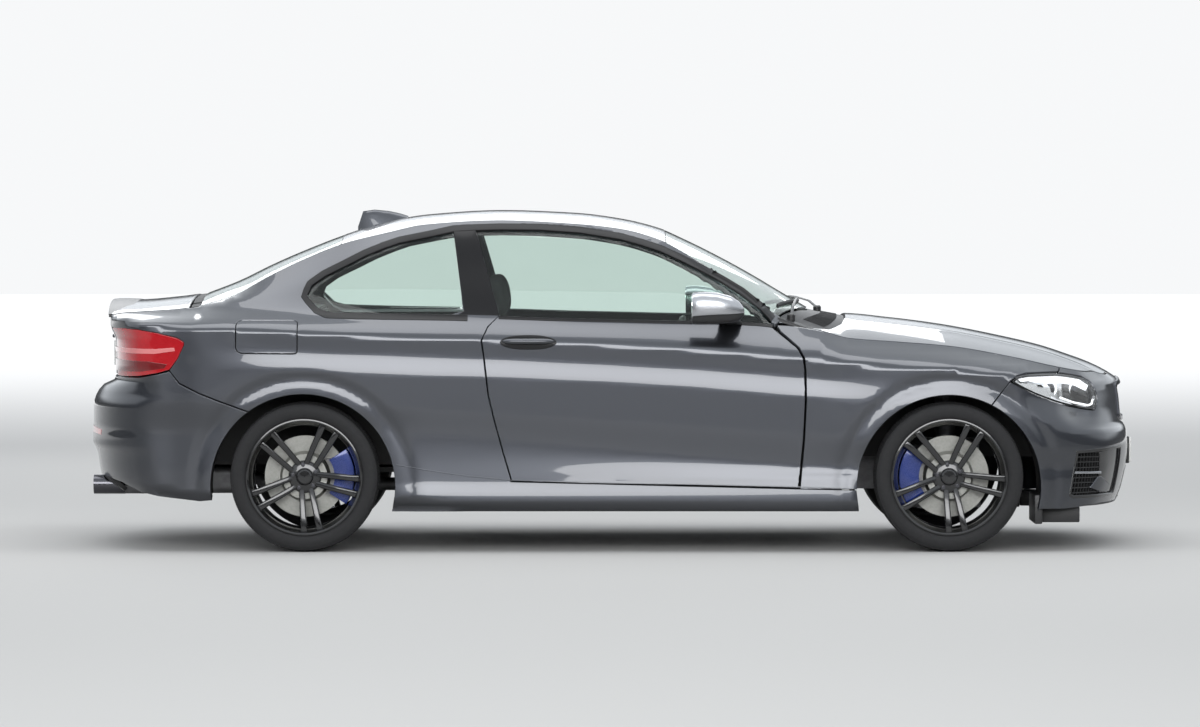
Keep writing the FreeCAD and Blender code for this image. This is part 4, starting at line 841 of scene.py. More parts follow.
def crossBars(surface, opening, pitch, thick, deep):
    loop, parts = np.array(opening), []
    for q in np.arange(loop[:, 0].min() + pitch * 0.5, loop[:, 0].max(), pitch):
        zs = np.linspace(loop[:, 1].min(), loop[:, 1].max(), 80)
        found = inside(np.stack([np.full(80, q), zs], 1), opening)
        if found.sum() < 4:
            continue
        sections = []
        for z in np.linspace(zs[found].min() - 4, zs[found].max() + 4, 8):
            a, b = surface(q - thick / 2, z)[0], surface(q + thick / 2, z)[0]
            n = normalsOf(surface, *lined(q, z))[0]
            sections.append([a - n * deep[0], b - n * deep[0], b - n * deep[1], a - n * deep[1]])
        parts.append(loft(sections))
    return joined(parts)


for name, opening in openings.items():
    edge = grille["upperFrame" if name == "Upper" else "frame"]
    ring = panelMesh(offset(nose, edge["out"]), grown(opening, edge["width"]), [grown(opening, -3)],
                     depth=edge["depth"], lip=2.0)
    panel("Frame" + name, ring, edge["finish"], "body")
    rows, bars = grille["slats"], grille["bars"]
    pitch = rows["upperPitch" if name == "Upper" else "pitch"]
    made = slats(nose, opening, pitch, rows["thick"], rows["deep"])
    if name in bars["in"]:
        made = joined([made, crossBars(nose, opening, bars["pitch"], bars["thick"], bars["deep"])])
    solidPiece("Slats" + name, made, satinBlack, "body", *(["front_grilles"] if name == "Upper" else []))
    made = panelMesh(offset(nose, -grille["backDepth"]), grown(opening, 14), depth=6, spacing=40)
    panel("GrilleBack" + name, made, underBlack, "body")

# Headlamps: a clear lens over a bright bowl with two projectors and a light line
lamp = {
    "outline": at(frontAxle, [
        (258, 708), (279, 729), (321, 740), (383, 742), (459, 741), (572, 723), (613, 698), (634, 652),
        (638, 618), (626, 585), (572, 591), (509, 604), (425, 631), (341, 664)]),
    "mask": [(1922, 720), (1980, 708), (2024, 690), (2042, 652), (2046, 618), (2030, 600), (1962, 606),
             (1928, 640)],
    "brow": at(frontAxle, [(284, 725), (330, 735), (459, 735), (566, 716), (602, 692), (594, 676), (550, 694),
                           (455, 710), (340, 712), (300, 710)]),
    "line": [(1890, 640), (1951, 616), (2008, 604), (2028, 610), (2036, 630)],
    "projectors": ((1868, 676, 27), (1976, 662, 29)),  # x, z and radius
    "bowlDepth": 36, "maskDepth": 29, "browDepth": 8, "lineDepth": 12,
}


def lampPanel(surface, outline, out, depth):
    return panelMesh(offset(surface, out), outline, depth=depth, spacing=20, lip=1.5)


def projector(x, z, r):  # the ring and the ball, turned to look out through the lens
    p = nose(qFromX(front, x, z), z)[0]
    centre = np.array([p[0] - 30, p[1] - 34, z])
    way = np.array([p[0] - 1500, p[1] - 250]) / math.hypot(p[0] - 1500, p[1] - 250)
    turn = np.array([[way[0], -way[1], 0], [way[1], way[0], 0], [0, 0, 1]])
    ring = turned([(r + 5 + 4 * math.cos(a), 4 * math.sin(a)) for a in roundTurn(8)], 40, "x")
    ball = turned([(0.5, 12), (r * 0.5, 10), (r * 0.85, 4), (r, -6), (r, -20), (0.5, -22)], 36, "x")
    return [(np.array(points) @ turn.T + centre, faces) for points, faces in (ring, ball)]


lampQ = intoQ(front, softened(grown(lamp["outline"], -2)), 12, True)
pairOf("HeadlampLens", lampPanel(nose, lampQ, -1, 3.0), lensClear)
pairOf("HeadlampBowl", lampPanel(nose, grown(lampQ, -3), -lamp["bowlDepth"], 4.0), reflector)
maskQ = intoQ(front, lamp["mask"], 12, True)
pairOf("HeadlampMask", lampPanel(nose, maskQ, -lamp["maskDepth"], 5), glossBlack)
seal = panelMesh(offset(nose, 0.4), grown(lampQ, 1.5), [grown(lampQ, -6)], depth=5, lip=1.0)
pairOf("HeadlampSeal", seal, glossBlack)
browQ = intoQ(front, lamp["brow"], 12, True)
pairOf("HeadlampBrow", lampPanel(nose, browQ, -lamp["browDepth"], 10), dayLight)
rings, balls = zip(*[projector(*row) for row in lamp["projectors"]])
pieces = solidPairs([("LightRing", joined(rings), dayLight, None, {}),
                     ("Projector", joined(balls), darkChrome, None, {})])
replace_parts(pieces[1], "headlamps")
linePath = []
for x, z in resample(lamp["line"], 10, False):
    q = qFromX(front, x, z)
    linePath.append(nose(q, z)[0] - lamp["lineDepth"] * normalsOf(nose, *lined(q, z))[0])
solidPair("DayLine", tube(linePath, 4.5, 8), dayLight)

# The post, fin and blade in each side intake
postQ = [(qFromX(front, 2058, z), z) for z in (236, 300, 360, 412)]
postQ += [(qFromY(front, 522, z), z) for z in (424, 330, 236)]
finQ = intoQ(front, [(2012, 262), (2048, 306), (2062, 306), (2104, 270), (2092, 237), (2060, 242)], 12, True)
bladeQ = intoQ(front, [(1934, 332), (2062, 328), (2062, 319), (1932, 323)], 10, True)
for name, outline, deep, depth, spacing, lip, look in (
        ("IntakePost", postQ, 9, 8, 20, 2.0, glossBlack), ("IntakeFin", finQ, 3, 16, 18, 3.0, paint),
        ("IntakeBlade", bladeQ, 4, 20, 14, 2.0, silver)):
    pairOf(name, panelMesh(offset(nose, -deep), outline, depth=depth, spacing=spacing, lip=lip), look)

# Side frames: sill, quarter, pillars and roof rail in one skin, the right one open for the fuel flap
quarterEnd = [(-1514, 588), (-1633, 631), (-1717, 664), (-1800, 706), (-1840, 757), (-1807, 805),
              (-1780, 862), (-1780, 876), (-1807, 893), (-1891, 914), (-1975, 928), (-2046, 932)]
cornerY = 553
corner = [(qFromY(rear, cornerY, z), z) for z in (932, 983)]
rail = [(x, float(railTopZ(x)[0])) for x in np.linspace(-1725, 708, 110)]
pillarFront = [(706, 962), (692, 950), (676, 958)]
doorRear = [(x - 5, z) for x, z in doorOutline[1:8]]
sillTop = [(-420, 293), (784, 263), (1022, 258)]
frameLoop = [(1034, 168), (-915, 168)] + arc(rearArch, archRadius, -16, 125.4, 44) + quarterEnd
frameLoop = intoQ(rear, frameLoop) + corner + around(rear, edgeLine(-2105, -1735, 24, 1.0))
frameLoop += intoQ(rear, rail + pillarFront + windowTop + pillarRear + doorRear + sillTop)
quarterHole = around(rear, grown(quarterGlassOutline, 1))
flapHole = around(rear, grown(flapOutline, 3))
leftFrame = panelMesh(tail, frameLoop, [quarterHole], depth=40, spacing=20)
rightFrame = mirror(panelMesh(tail, frameLoop, [quarterHole, flapHole], depth=40, spacing=20))
panel("SideFrameLeft", leftFrame, paint, "body", "side_frame_left")
panel("SideFrameRight", rightFrame, paint, "body", "side_frame_right")
flapMade = mirror(panelMesh(tail, around(rear, flapOutline), depth=6, spacing=18))
panel("FuelFlap", flapMade, paint, "fuel_flap", "fuel_flap")
cup = mirror(panelMesh(offset(tail, -34), around(rear, grown(flapOutline, 6)), depth=6))
panel("FuelCup", cup, satinBlack, "body")
cupWall = mirror(panelMesh(offset(tail, -3), around(rear, grown(flapOutline, 7)),
                           [around(rear, grown(flapOutline, 3.4))], depth=34, lip=1.0))
panel("FuelCupWall", cupWall, satinBlack, "body")

# Doors, with a grey card inside
door = {"cardY": 746.0, "innerY": 758, "wall": 12,
        "card": [(620, 330), (640, 700), (600, 860), (560, 925), (-430, 938), (-470, 860), (-440, 560),
                 (-385, 330)],
        "armRest": (-330, 330, 690, 748, 590, 650)}


def towardCabin(points):  # the door's skin is a wall's thickness, or as deep as the card
    push = np.zeros_like(points)
    y = np.abs(points[:, 1])
    push[:, 1] = -np.sign(points[:, 1]) * (y - np.minimum(y - door["wall"], door["innerY"]))
    return push


def outwards(points):
    return np.array([0, 1.0, 0]) + 0 * points


doorTop = [(float(x), float(beltZ(x)[0]) - 2) for x in np.linspace(662, -474, 30)]
doorLoop = [p for p in doorOutline[1:-1] + doorTop if p[1] < 981]
doorMade = panelMesh(side, doorLoop, depth=1.0, spacing=20, inward=towardCabin)
pairOf("Door", doorMade, paint, onDoors, "door")
card = panelMesh(inFlat(door["cardY"]), softened(door["card"]), depth=10, spacing=60, inward=outwards)
pairOf("DoorCard", card, trimGrey, onDoors)
solidPair("ArmRest", boxPart(*door["armRest"]), trimGrey, onDoors, rounded=14)

# Glass, roof and headliner
glass = {"spacing": 34, "lip": 0.8}
glassLoop = windowTop + [(-563, 1312), (-512, 1127), (-466, 955), (-466, 940), (672, 940)]
pairOf("DoorGlass", panelMesh(offset(side, -7), glassLoop, depth=4.0, **glass), windowGlass, onDoors,
       "door_glass")
made = panelMesh(offset(side, -6), quarterGlassOutline, depth=4.0, **glass)
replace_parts(pairOf("QuarterGlass", made, windowGlass)[0], "quarter_windows")
screenLow = [(706, 634), (740, 556), (786, 440), (831, 250), (845, 0)]
screenLoop = bothY([(233, 0)] + canopyEdge(233, 700, 4) + screenLow)
rearLoop = bothY([(-1724, 0)] + canopyEdge(-1724, -1141, 4) + [(-1141, 0)])
for name, loop, node in (("Windscreen", screenLoop, "windscreen"), ("RearWindow", rearLoop, "rear_window")):
    panel(name, panelMesh(top(canopyZ, 1), loop, depth=5, **glass), windowGlass, "body", node)
roof = bothY([(-1138, 0)] + canopyEdge(-1138, 230, 1) + [(230, 0)])
panel("Roof", panelMesh(top(canopyZ), roof, depth=18, spacing=30), paint, "body", "roof_panel")
liner = bothY([(-1130, 0)] + canopyEdge(-1130, 222, 22) + [(222, 0)])
panel("Headliner", panelMesh(top(canopyZ, 21), liner, depth=5, spacing=60), headliner, "body")

# Black trim round the side windows, on the pillars and along the belt
dayTop = windowTop + quarterTop + [(-884, 990), (-671, 987), (-600, 985)]
trim = stripOf(resample(dayTop, 20, False), -2.0, 24.0)
pairOf("WindowTrim", panelMesh(offset(side, 2.0), trim, depth=9, spacing=30, lip=2.0), trimBlack)
pillar = [(-574, 1344), (-664, 1339), (-616, 1003), (-640, 988), (-467, 984), (-508, 1127), (-560, 1312)]
pairOf("Pillar", panelMesh(offset(side, 1.2), pillar, depth=8, spacing=30, lip=1.6), trimBlack)
belt = [(x, float(beltZ(x)[0]) - 4) for x in np.linspace(676, -470, 40)]
pairOf("BeltTrim", panelMesh(offset(side, 2.2), stripOf(belt, -7.0, 6.0), depth=9, spacing=30, lip=2.0),
       trimBlack, onDoors)

# Trunk lid and the lamps on it
lidFront, lidFoot, lidEdgeY = -1777, 736, 546
lidSide = [(x, float(halfWidth - edgeIn(x)[0]) - 5) for x in np.linspace(lidFront, -2100, 16)]
lidRear = [(x + 1, y - 6 if y > 6 else 0.0) for q, z, x, y in tailLine[::-1]]
lidTop = bothY([(lidFront, 0)] + lidSide + lidRear)
panel("LidTop", panelMesh(top(deckZ), lidTop, depth=22, spacing=24), paint, "trunk_lid", "trunk_lid")
lidFaceHalf = [(q, z - 2) for q, z, x, y in tailLine if y < lidEdgeY]
lidFaceHalf += [(qFromY(rear, lidEdgeY, z), z) for z in (970, 925, 850, 790, lidFoot)] + [(0, lidFoot)]
lampHole = facing(rear, [(330, 744), (536, 753), (536, 914), (362, 904), (332, 890), (330, 744)])[:-1]
lidFace = panelMesh(tail, both(lidFaceHalf), [lampHole, mirroredQ(lampHole)], depth=22, spacing=24)
panel("LidFace", lidFace, paint, "trunk_lid")
lidLamp = panelMesh(offset(tail, -1), grown(lampHole, -2), depth=24, spacing=24)
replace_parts(pairOf("LidLamp", lidLamp, redGlow, ("trunk_lid", "trunk_lid"))[0], "lid_lamps")

# Lip spoiler: rows of x and rise over the lid, swept back and down towards its ends
spoiler = {"rows": ((-2137, 3), (-2139, 7), (-2120, 9), (-2080, 8), (-2035, 4), (-2025, 1)),
           "halfWidth": 545, "thick": 9, "sweep": 0.00006, "fall": 0.00003, "count": 41}


def spoilerRow(x, rise):
    onLid = max(x, -2130)
    return [(x + spoiler["sweep"] * y * y, y, heightAt(deckZ, onLid, abs(y)) + rise - spoiler["fall"] * y * y)
            for y in np.linspace(-spoiler["halfWidth"], spoiler["halfWidth"], spoiler["count"])]


grid = [spoilerRow(x, rise) for x, rise in spoiler["rows"]]
grid += [[(x, y, z - spoiler["thick"]) for x, y, z in row] for row in (grid[-1], grid[0])]
points = [p for row in grid for p in row]
count, rows = spoiler["count"], len(grid)
faces = [[k * count + i, k * count + i + 1, (k + 1) % rows * count + i + 1, (k + 1) % rows * count + i]
         for k in range(rows) for i in range(count - 1)]
faces += [[k * count for k in range(rows)], [k * count + count - 1 for k in range(rows)][::-1]]
solidPiece("LipSpoiler", (points, faces), capBlack, "trunk_lid", angle=50)

# Rear bumper, diffuser, reflectors and exhaust tips
pipe = {"y": 430, "z": 262, "hole": 47,
        "profile": [(41, -2193), (41, -2060), (38, -2060), (36, -2185), (38.5, -2193)]}
rearTop = [(-2055, 721), (-1975, 722), (-1891, 740), (-1842, 752), (-1802, 700), (-1717, 658), (-1633, 625),
           (-1514, 582)]
rearLow = [(-1720, 209), (-1804, 219), (-1887, 229), (-1971, 246), (-2055, 284)]
rearHalf = [(0, 722)] + intoQ(rear, rearTop + arc(rearArch, archRadius, 126.5, 189, 24) + rearLow)
rearHalf += [(qFromY(rear, 560, 300), 300), (0, 300)]
panel("RearBumper", panelMesh(tail, both(rearHalf), depth=24, spacing=22), paint, "body", "rear_bumper")
tipHole = [(qFromY(rear, y, z), z) for y, z in arc((pipe["y"], pipe["z"]), pipe["hole"], 0, 345, 23)]
diffuserHalf = [(0, 297), (qFromY(rear, 556, 297), 297), (qFromY(rear, 552, 238), 238), (0, 232)]
diffuser = panelMesh(offset(tail, -2), both(resample(diffuserHalf, 40, False)), [tipHole, mirroredQ(tipHole)],
                     depth=16, spacing=26)
panel("Diffuser", diffuser, satinBlack, "body")
fins = [boxPart(-2175, -2085, y - 3, y + 3, 226, 292) for y in (-240, -120, 0, 120, 240)]
solidPiece("DiffuserFins", joined(fins), satinBlack, "body", rounded=2)
reflectorQ = intoQ(rear, [(-2214, 512), (-2150, 500), (-2152, 478), (-2216, 482)], 12, True)
pairOf("RearReflector", panelMesh(offset(tail, 1.0), reflectorQ, depth=6, spacing=16, lip=1.5), redGlow)
tips = [turned(pipe["profile"], 48, "x", (0, y, pipe["z"])) for y in (-pipe["y"], pipe["y"])]
solidPiece("ExhaustTips", joined(tips), darkChrome, "body")

# Tail lamps
tailLampPoints = [(-2046, 929), (-1975, 925), (-1891, 912), (-1809, 891), (-1783, 875), (-1783, 863),
                  (-1810, 806), (-1843, 761), (-1891, 747), (-1975, 732), (-2055, 728)]
tailLampQ = intoQ(rear, tailLampPoints) + [(qFromY(rear, 556, z), z) for z in (728, 780, 850, 929)]
tailLamp = panelMesh(offset(tail, -1), tailLampQ, depth=30, spacing=18)
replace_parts(pairOf("TailLamp", tailLamp, redGlow)[0], "tail_lamps")
for name, look, outline in (
        ("TailBand", redPale, [(-2100, 850), (-1900, 846), (-1822, 852), (-1818, 838), (-1905, 826),
                               (-2100, 828)]),
        ("TailLower", redDark, [(-2100, 800), (-1930, 794), (-1852, 782), (-1864, 766), (-1960, 752),
                                (-2100, 750)])):
    bandQ = intoQ(rear, outline, 14, True)
    pairOf(name, panelMesh(offset(tail, 0.6), bandQ, depth=4, spacing=16, lip=1.2), look)
print("body done")

# Cowl panel with its ribs
hoodRearX = column(np.array(sorted([(y, x - 6) for x, y in hoodRear]) + [(720, 790)], float), 1)
screenLowX = column(np.array(sorted([(y, x + 4) for x, y in screenLow]) + [(720, 690)], float), 1)


def cowlSurface(x, y):
    x, y = lined(x, y)
    ahead, behind = hoodRearX(np.abs(y)), screenLowX(np.abs(y))
    t = np.clip((ahead - x) / np.maximum(ahead - behind, 1), 0, 1)
    low = deckZ(ahead, y) - 10
    high = canopyZ(behind, np.minimum(np.abs(y), 640)) - 9
    return np.stack([x, y, low + (high - low) * t], 1)


ys = np.linspace(0, 676, 26)
cowlHalf = [(float(screenLowX(y)[0]), float(y)) for y in ys]
cowlHalf += [(float(hoodRearX(y)[0]), float(y)) for y in ys[::-1]]
panel("Cowl", panelMesh(cowlSurface, bothY(cowlHalf), depth=14, spacing=22), satinBlack, "body", "cowl_panel")
ribs = {"halfWidth": 560, "count": 57, "from": 0.35, "to": 0.8, "radius": 2.4}


def rib(y):
    ahead, behind = float(hoodRearX(abs(y))[0]), float(screenLowX(abs(y))[0])
    xs = np.linspace(behind + (ahead - behind) * ribs["from"], behind + (ahead - behind) * ribs["to"], 4)
    return tube(cowlSurface(xs, y) + [0, 0, 1.0], ribs["radius"], 6)


ribRows = [rib(y) for y in np.linspace(-ribs["halfWidth"], ribs["halfWidth"], ribs["count"])]
solidPiece("CowlRibs", joined(ribRows), capBlack, "body")

# Wipers, parked along the foot of the windscreen: each blade's ends and its arm's pivot
wipers = {"places": ((-560, 10, -620), (70, 590, 20)), "overEdge": 42,
          "knob": [(0.5, -20), (17, -20), (17, 4), (12, 10), (0.5, 11)]}
blades, arms = [], []
for y0, y1, pivot in wipers["places"]:
    along = np.linspace(y0, y1, 24)
    x = screenLowX(np.abs(along)) - wipers["overEdge"]
    z = canopyZ(x, along)
    blades.append(tube(np.stack([x, along, z + 6], 1), 5.5, 8, 1.5))
    blades.append(tube(np.stack([x - 1, along, z + 14], 1), 3.2, 8))
    middle = np.array([x[12], along[12], z[12] + 19])
    foot = cowlSurface(float(screenLowX(abs(pivot))[0]) + wipers["overEdge"], pivot)[0] + [0, 0, 14]
    bend = foot * 0.72 + middle * 0.28 + [0, 0, 16]
    arms.append(tube([foot, bend, middle * 0.6 + bend * 0.4 + [0, 0, 4], middle], 6.5, 8, 0.7))
    knob, knobFaces = turned(wipers["knob"], 24, "x")
    arms.append((knob[:, [1, 2, 0]] + foot, knobFaces))
solidPiece("WiperBlades", joined(blades), satinBlack, "body")
solidPiece("WiperArms", joined(arms), capBlack, "body")

# Roof fin: x, half width, foot and top
finRows = ((-873, 15, 1386, 1398), (-908, 23, 1378, 1409), (-955, 25, 1366, 1419), (-1018, 22, 1345, 1425),
           (-1068, 12, 1328, 1418), (-1090, 5, 1322, 1352))
finSections = []
for x, w, z0, z1 in finRows:
    ring = [(x, w * (1 - t) ** 0.55 * (1 if t < 1 else 0) + 1.2, z0 + (z1 - z0) * t)
            for t in np.linspace(0, 1, 9)]
    finSections.append(ring + [(x, -y, z) for x, y, z in ring[::-1]])
solidPiece("RoofFin", loft(finSections), paint, "body", angle=60)

# Mirrors: a silver cap over a black base, on the door
mirrorShape = {
    # sections: x, centre z, half height, centre y, half width
    "head": ((336, 1017, 64, 889, 62), (341, 1017, 67, 890, 65), (380, 1018, 69, 890, 67),
             (440, 1017, 66, 890, 66), (495, 1012, 57, 888, 60), (530, 1006, 42, 884, 48),
             (548, 1002, 24, 880, 30), (554, 1000, 8, 878, 12)),
    "parting": 984, "rise": 0.06, "square": (0.68, 0.72),
    # sections: x, length, y, z
    "foot": ((452, 96, 748, 951), (448, 92, 790, 958), (430, 84, 836, 968), (400, 80, 860, 974)),
    "glass": (334.5, 889, 1019, 54, 55),
}


def mirrorRing(x, zc, hz, yc, hy, count):
    powerY, powerZ = mirrorShape["square"]
    return [(x, yc + hy * boxy(math.cos(a), powerY), zc + hz * boxy(math.sin(a), powerZ))
            for a in roundTurn(count)]


def mirrorHead(zLow, zHigh):
    sections = []
    for row in mirrorShape["head"]:
        lean = (row[0] - mirrorShape["head"][0][0]) * mirrorShape["rise"]
        sections.append([(x, y, min(max(z, zLow + lean), zHigh + lean)) for x, y, z in mirrorRing(*row, 48)])
    return loft(sections)


foot = loft([[(x0 + dx, y, z + dz) for dx, dz in ((0, -8), (w, -8), (w, 8), (0, 8))]
             for x0, w, y, z in mirrorShape["foot"]])
x, yc, zc, hy, hz = mirrorShape["glass"]
pane = mirrorRing(x, zc, hz, yc, hy, 40)
pane = loft([pane, [(x + 2.5, y, z) for x, y, z in pane]])
solidPairs([
    ("MirrorCap", mirrorHead(mirrorShape["parting"] + 1, 1200), silver, "mirror", {"angle": 50}),
    ("MirrorBase", mirrorHead(900, mirrorShape["parting"]), capBlack, None, {"angle": 50}),
    ("MirrorFoot", foot, capBlack, None, {"rounded": 5}),
    ("MirrorGlass", pane, mirrorGlass, None, {})], onDoors)

# Door handles over a painted shadow: a flat black oval on the door skin where the handle's pocket lies in
# shade
handle = {"x": -346, "z": 878, "halfLength": 112, "halfHeight": 11.5, "out": 20,
          "shadowZ": 874, "shadowLength": 118, "shadowHeight": 31}
# painted shade: a black oval laid 0.8 mm over the unbroken door skin, standing in for the shaded pocket
# behind the handle
handleShadow = [(handle["x"] + handle["shadowLength"] * boxy(math.cos(a), 0.85),
          handle["shadowZ"] + handle["shadowHeight"] * math.sin(a)) for a in roundTurn(48)]
pairOf("HandleScoop", panelMesh(offset(side, 0.8), handleShadow, depth=6, spacing=16, lip=2.0), trimBlack, onDoors)


def handleRing(t):
    x = handle["x"] + handle["halfLength"] * t
    tall = handle["halfHeight"] * (1 - abs(t) ** 6) + 1.5
    out = handle["out"] * (1 - abs(t) ** 4) + 1
    base = float(flankY(x, handle["z"])[0])
    return [(x, base + (out * math.cos(a) ** 0.7 if math.cos(a) > 0 else 0) - 1,
             handle["z"] + tall * math.sin(a)) for a in roundTurn(20, -math.pi / 2)]


handleMade = loft([handleRing(t) for t in np.linspace(-1, 1, 21)])
solidPair("Handle", handleMade, paint, onDoors, angle=60)

# Skirts under the doors, the front splitter and the air dams
skirt = stripOf([(1024, 262), (778, 270), (370, 280), (-47, 287), (-414, 298), (-589, 314), (-755, 338),
                 (-898, 362)], 0, 4)
pairOf("SkirtLine", panelMesh(offset(side, 3.0), skirt, depth=5, spacing=30, lip=1.2), paint)
splitter = {"reach": 700, "z": 190, "back": 14, "radius": 8, "flat": 0.6}
splitterPath = [nose(q, 200)[0] * [1, 1, 0] + [-splitter["back"], 0, splitter["z"]]
                for q in np.linspace(-splitter["reach"], splitter["reach"], 50)]
splitterMade = tube(splitterPath, splitter["radius"], 8, splitter["flat"])
solidPiece("Splitter", splitterMade, satinBlack, "body")
dams = [boxPart(x0, x1, *sorted((s * y0, s * y1)), z0, z1) for x0, x1, y0, y1, z0, z1 in (
    (1806, 1965, 560, 720, 116, 182), (1768, 1802, 500, 812, 114, 236)) for s in (1, -1)]
solidPiece("AirDams", joined(dams), satinBlack, "body", rounded=6)

# Plates, blank
for name, box, look, body, rounded in (
        ("PlateFront", (2212, 2222, -258, 258, 347, 453), plateWhite, "body", 3),
        ("PlateHolderFront", (2176, 2213, -262, 262, 343, 457), satinBlack, "body", 3),
        ("PlateRear", (-2121, -2112, -258, 258, 763, 869), plateWhite, "trunk_lid", 3),
        ("PlateLight", (-2126, -2108, -290, 290, 880, 896), darkChrome, "trunk_lid", 5)):
    solidPiece(name, boxPart(*box), look, body, rounded=rounded)

# Wheels: profiles are of radius and place along the axle, from the middle of the tyre outwards
wheel = {
    "axles": (("front", frontAxle, 1520, 225), ("rear", rearAxle, 1514, 245)),  # x, track and tyre width
    # spoke sections: radius, gap from its twin's middle line, width, face and depth
    "spoke": ((44, 8, 22, 62, 30), (70, 9, 24, 70, 32), (110, 12, 25, 82, 34), (150, 14.5, 26, 91, 34),
              (190, 16.5, 27, 95, 34), (222, 18.5, 29, 96, 36), (233, 20, 31, 95, 34)),
    "pairs": 5, "firstSpoke": 62, "chamfer": 3.5,
    "hub": [(0.5, 76), (30, 76), (33, 73), (36, 66), (52, 66), (66, 58), (70, 46), (60, 41.5), (0.5, 41.5)],
    "cap": [(0.5, 84), (26, 83), (31, 79), (32, 70), (0.5, 70)],
    "bolt": [(0.5, 68.5), (8, 68), (8.5, 60), (0.5, 60)],
    "boltCircle": 50, "firstBolt": 98,
}
step = 360 / wheel["pairs"]


def spokes():
    parts, c = [], wheel["chamfer"]
    for k in range(wheel["pairs"]):
        a = math.radians(wheel["firstSpoke"] + step * k)
        for s in (-1, 1):
            sections = []
            for r, gap, wide, face, deep in wheel["spoke"]:
                half, middle = wide / 2, s * (gap + wide / 2)
                outline = [(c - half, face), (half - c, face), (half, face - c - 1),
                           (half - 1.5, face - deep), (1.5 - half, face - deep), (-half, face - c - 1)]
                sections.append([(r * math.cos(a) - (middle + m) * math.sin(a), f,
                                  r * math.sin(a) + (middle + m) * math.cos(a)) for m, f in outline])
            parts.append(loft(sections))
    return joined(parts)


def rimProfile(half):
    lipY = half - 8
    return [(243, lipY), (243, lipY - 7), (236, lipY - 12), (228, lipY - 24), (222, lipY - 40),
            (222, 20 - lipY), (230, 8 - lipY), (243, 3 - lipY), (243, -lipY), (232, -lipY),
            (216, 20 - lipY), (215, lipY - 44), (222, lipY - 26), (230, lipY - 10), (233, lipY - 2),
            (238, lipY + 1)]


def tyreProfile(w):
    outer = [(306, w - 26), (305, w - 16), (299, w - 7), (288, w - 1.5), (272, w), (258, w - 2), (248, w - 7),
             (244, w - 14), (231, w - 16)]
    inner = [(231, w - 28), (244, w - 26), (282, w - 12), (292, w - 24)]
    return ([(306, 26 - w)] + outer + inner + [(r, -y) for r, y in inner[::-1]]
            + [(r, -y) for r, y in outer[:0:-1]])


def bolts():
    points, faces = turned(wheel["bolt"], 18)
    around = [math.radians(wheel["firstBolt"] + step * k) for k in range(wheel["pairs"])]
    return joined([(points + [wheel["boltCircle"] * math.cos(a), 0, wheel["boltCircle"] * math.sin(a)], faces)
                   for a in around])


# Tread: five blocks across one pitch, each with its two edges, its skew and its edge heights
tread = {"count": 124, "foot": 300, "halfPitch": 6.6, "crown": 311.6, "shoulder": 310.6, "edge": 303.5,
         "shoulderIn": 10, "shoulderOut": 54}


def treadBlocks(w):
    parts, a, foot = [], tread["halfPitch"], tread["foot"]
    crown, shoulder, edge = tread["crown"], tread["shoulder"], tread["edge"]
    outer, inner = w - tread["shoulderIn"], tread["shoulderOut"]
    for y0, y1, skew, z0, z1 in ((-outer, -inner, 4, edge, shoulder), (-46, -20, 6, crown, crown),
                                 (-12, 12, 0, crown, crown), (20, 46, -6, crown, crown),
                                 (inner, outer, -4, shoulder, edge)):
        ring = [(-a, y0), (a, y0), (a + skew, y1), (skew - a, y1)]
        parts.append(([(x, y, foot) for x, y in ring]
                      + [(x, y, z) for (x, y), z in zip(ring, (z0, z0, z1, z1))],
                      [[0, 3, 2, 1], [4, 5, 6, 7], [0, 1, 5, 4], [1, 2, 6, 5], [2, 3, 7, 6], [3, 0, 4, 7]]))
    return joined(parts)


def treadTree():  # the blocks repeated round the tyre, as a node group
    tree = bpy.data.node_groups.new("TreadRow", "GeometryNodeTree")
    kinds = {"Geometry": "Geometry", "Block": "Object", "Count": "Int", "Finish": "Material"}
    for name, kind in kinds.items():
        tree.interface.new_socket(name, in_out="INPUT", socket_type="NodeSocket" + kind)
    tree.interface.new_socket("Geometry", in_out="OUTPUT", socket_type="NodeSocketGeometry")

    def node(kind, out=0, **inputs):
        return Signal(tree, addNode(tree, kind, None, **inputs).outputs[out])

    given = tree.nodes.new("NodeGroupInput")
    block, count, finish = (Signal(tree, given.outputs[name]) for name in ("Block", "Count", "Finish"))
    circle = node("GeometryNodeMeshCircle", Vertices=count, Radius=0.0001)
    turn = node("ShaderNodeCombineXYZ", Y=node("GeometryNodeInputIndex") * (-2 * math.pi / count))
    shape = node("GeometryNodeObjectInfo", "Geometry", i0=block)
    row = node("GeometryNodeInstanceOnPoints", Points=circle, Instance=shape, Rotation=turn)
    row = node("GeometryNodeSetMaterial", i0=node("GeometryNodeRealizeInstances", i0=row), Material=finish)
    tree.links.new(row.socket, tree.nodes.new("NodeGroupOutput").inputs[0])
    return tree


def treadMesh(w):
    block = outwardNormals(meshObject("TreadBlock", *treadBlocks(w), rubber, smoothAll=False))
    host = meshObject("TreadHost", [(0, 0, 0)], [], rubber)
    row = host.modifiers.new("Row", "NODES")
    row.node_group = treadTree()
    given = {"Block": block, "Count": tread["count"], "Finish": rubber}
    for item in row.node_group.interface.items_tree:
        if item.in_out == "INPUT" and item.name in given:
            row[item.identifier] = given[item.name]
    made = evaluated(host)
    points = np.array([v.co for v in made.vertices]) * 1000
    faces = [list(p.vertices) for p in made.polygons]
    for item in (host, block):
        bpy.data.objects.remove(item)
    return points, faces


# Calipers over the discs: the outer and inner cheeks, and the bridge between them
caliper = {"cheek": (207, 124, 118), "cheekAngles": (34, 36), "bridge": (206, 178), "bridgeAngle": 30,
           "outer": (4, 37), "inner": (-56, -34), "over": (-36, 8)}


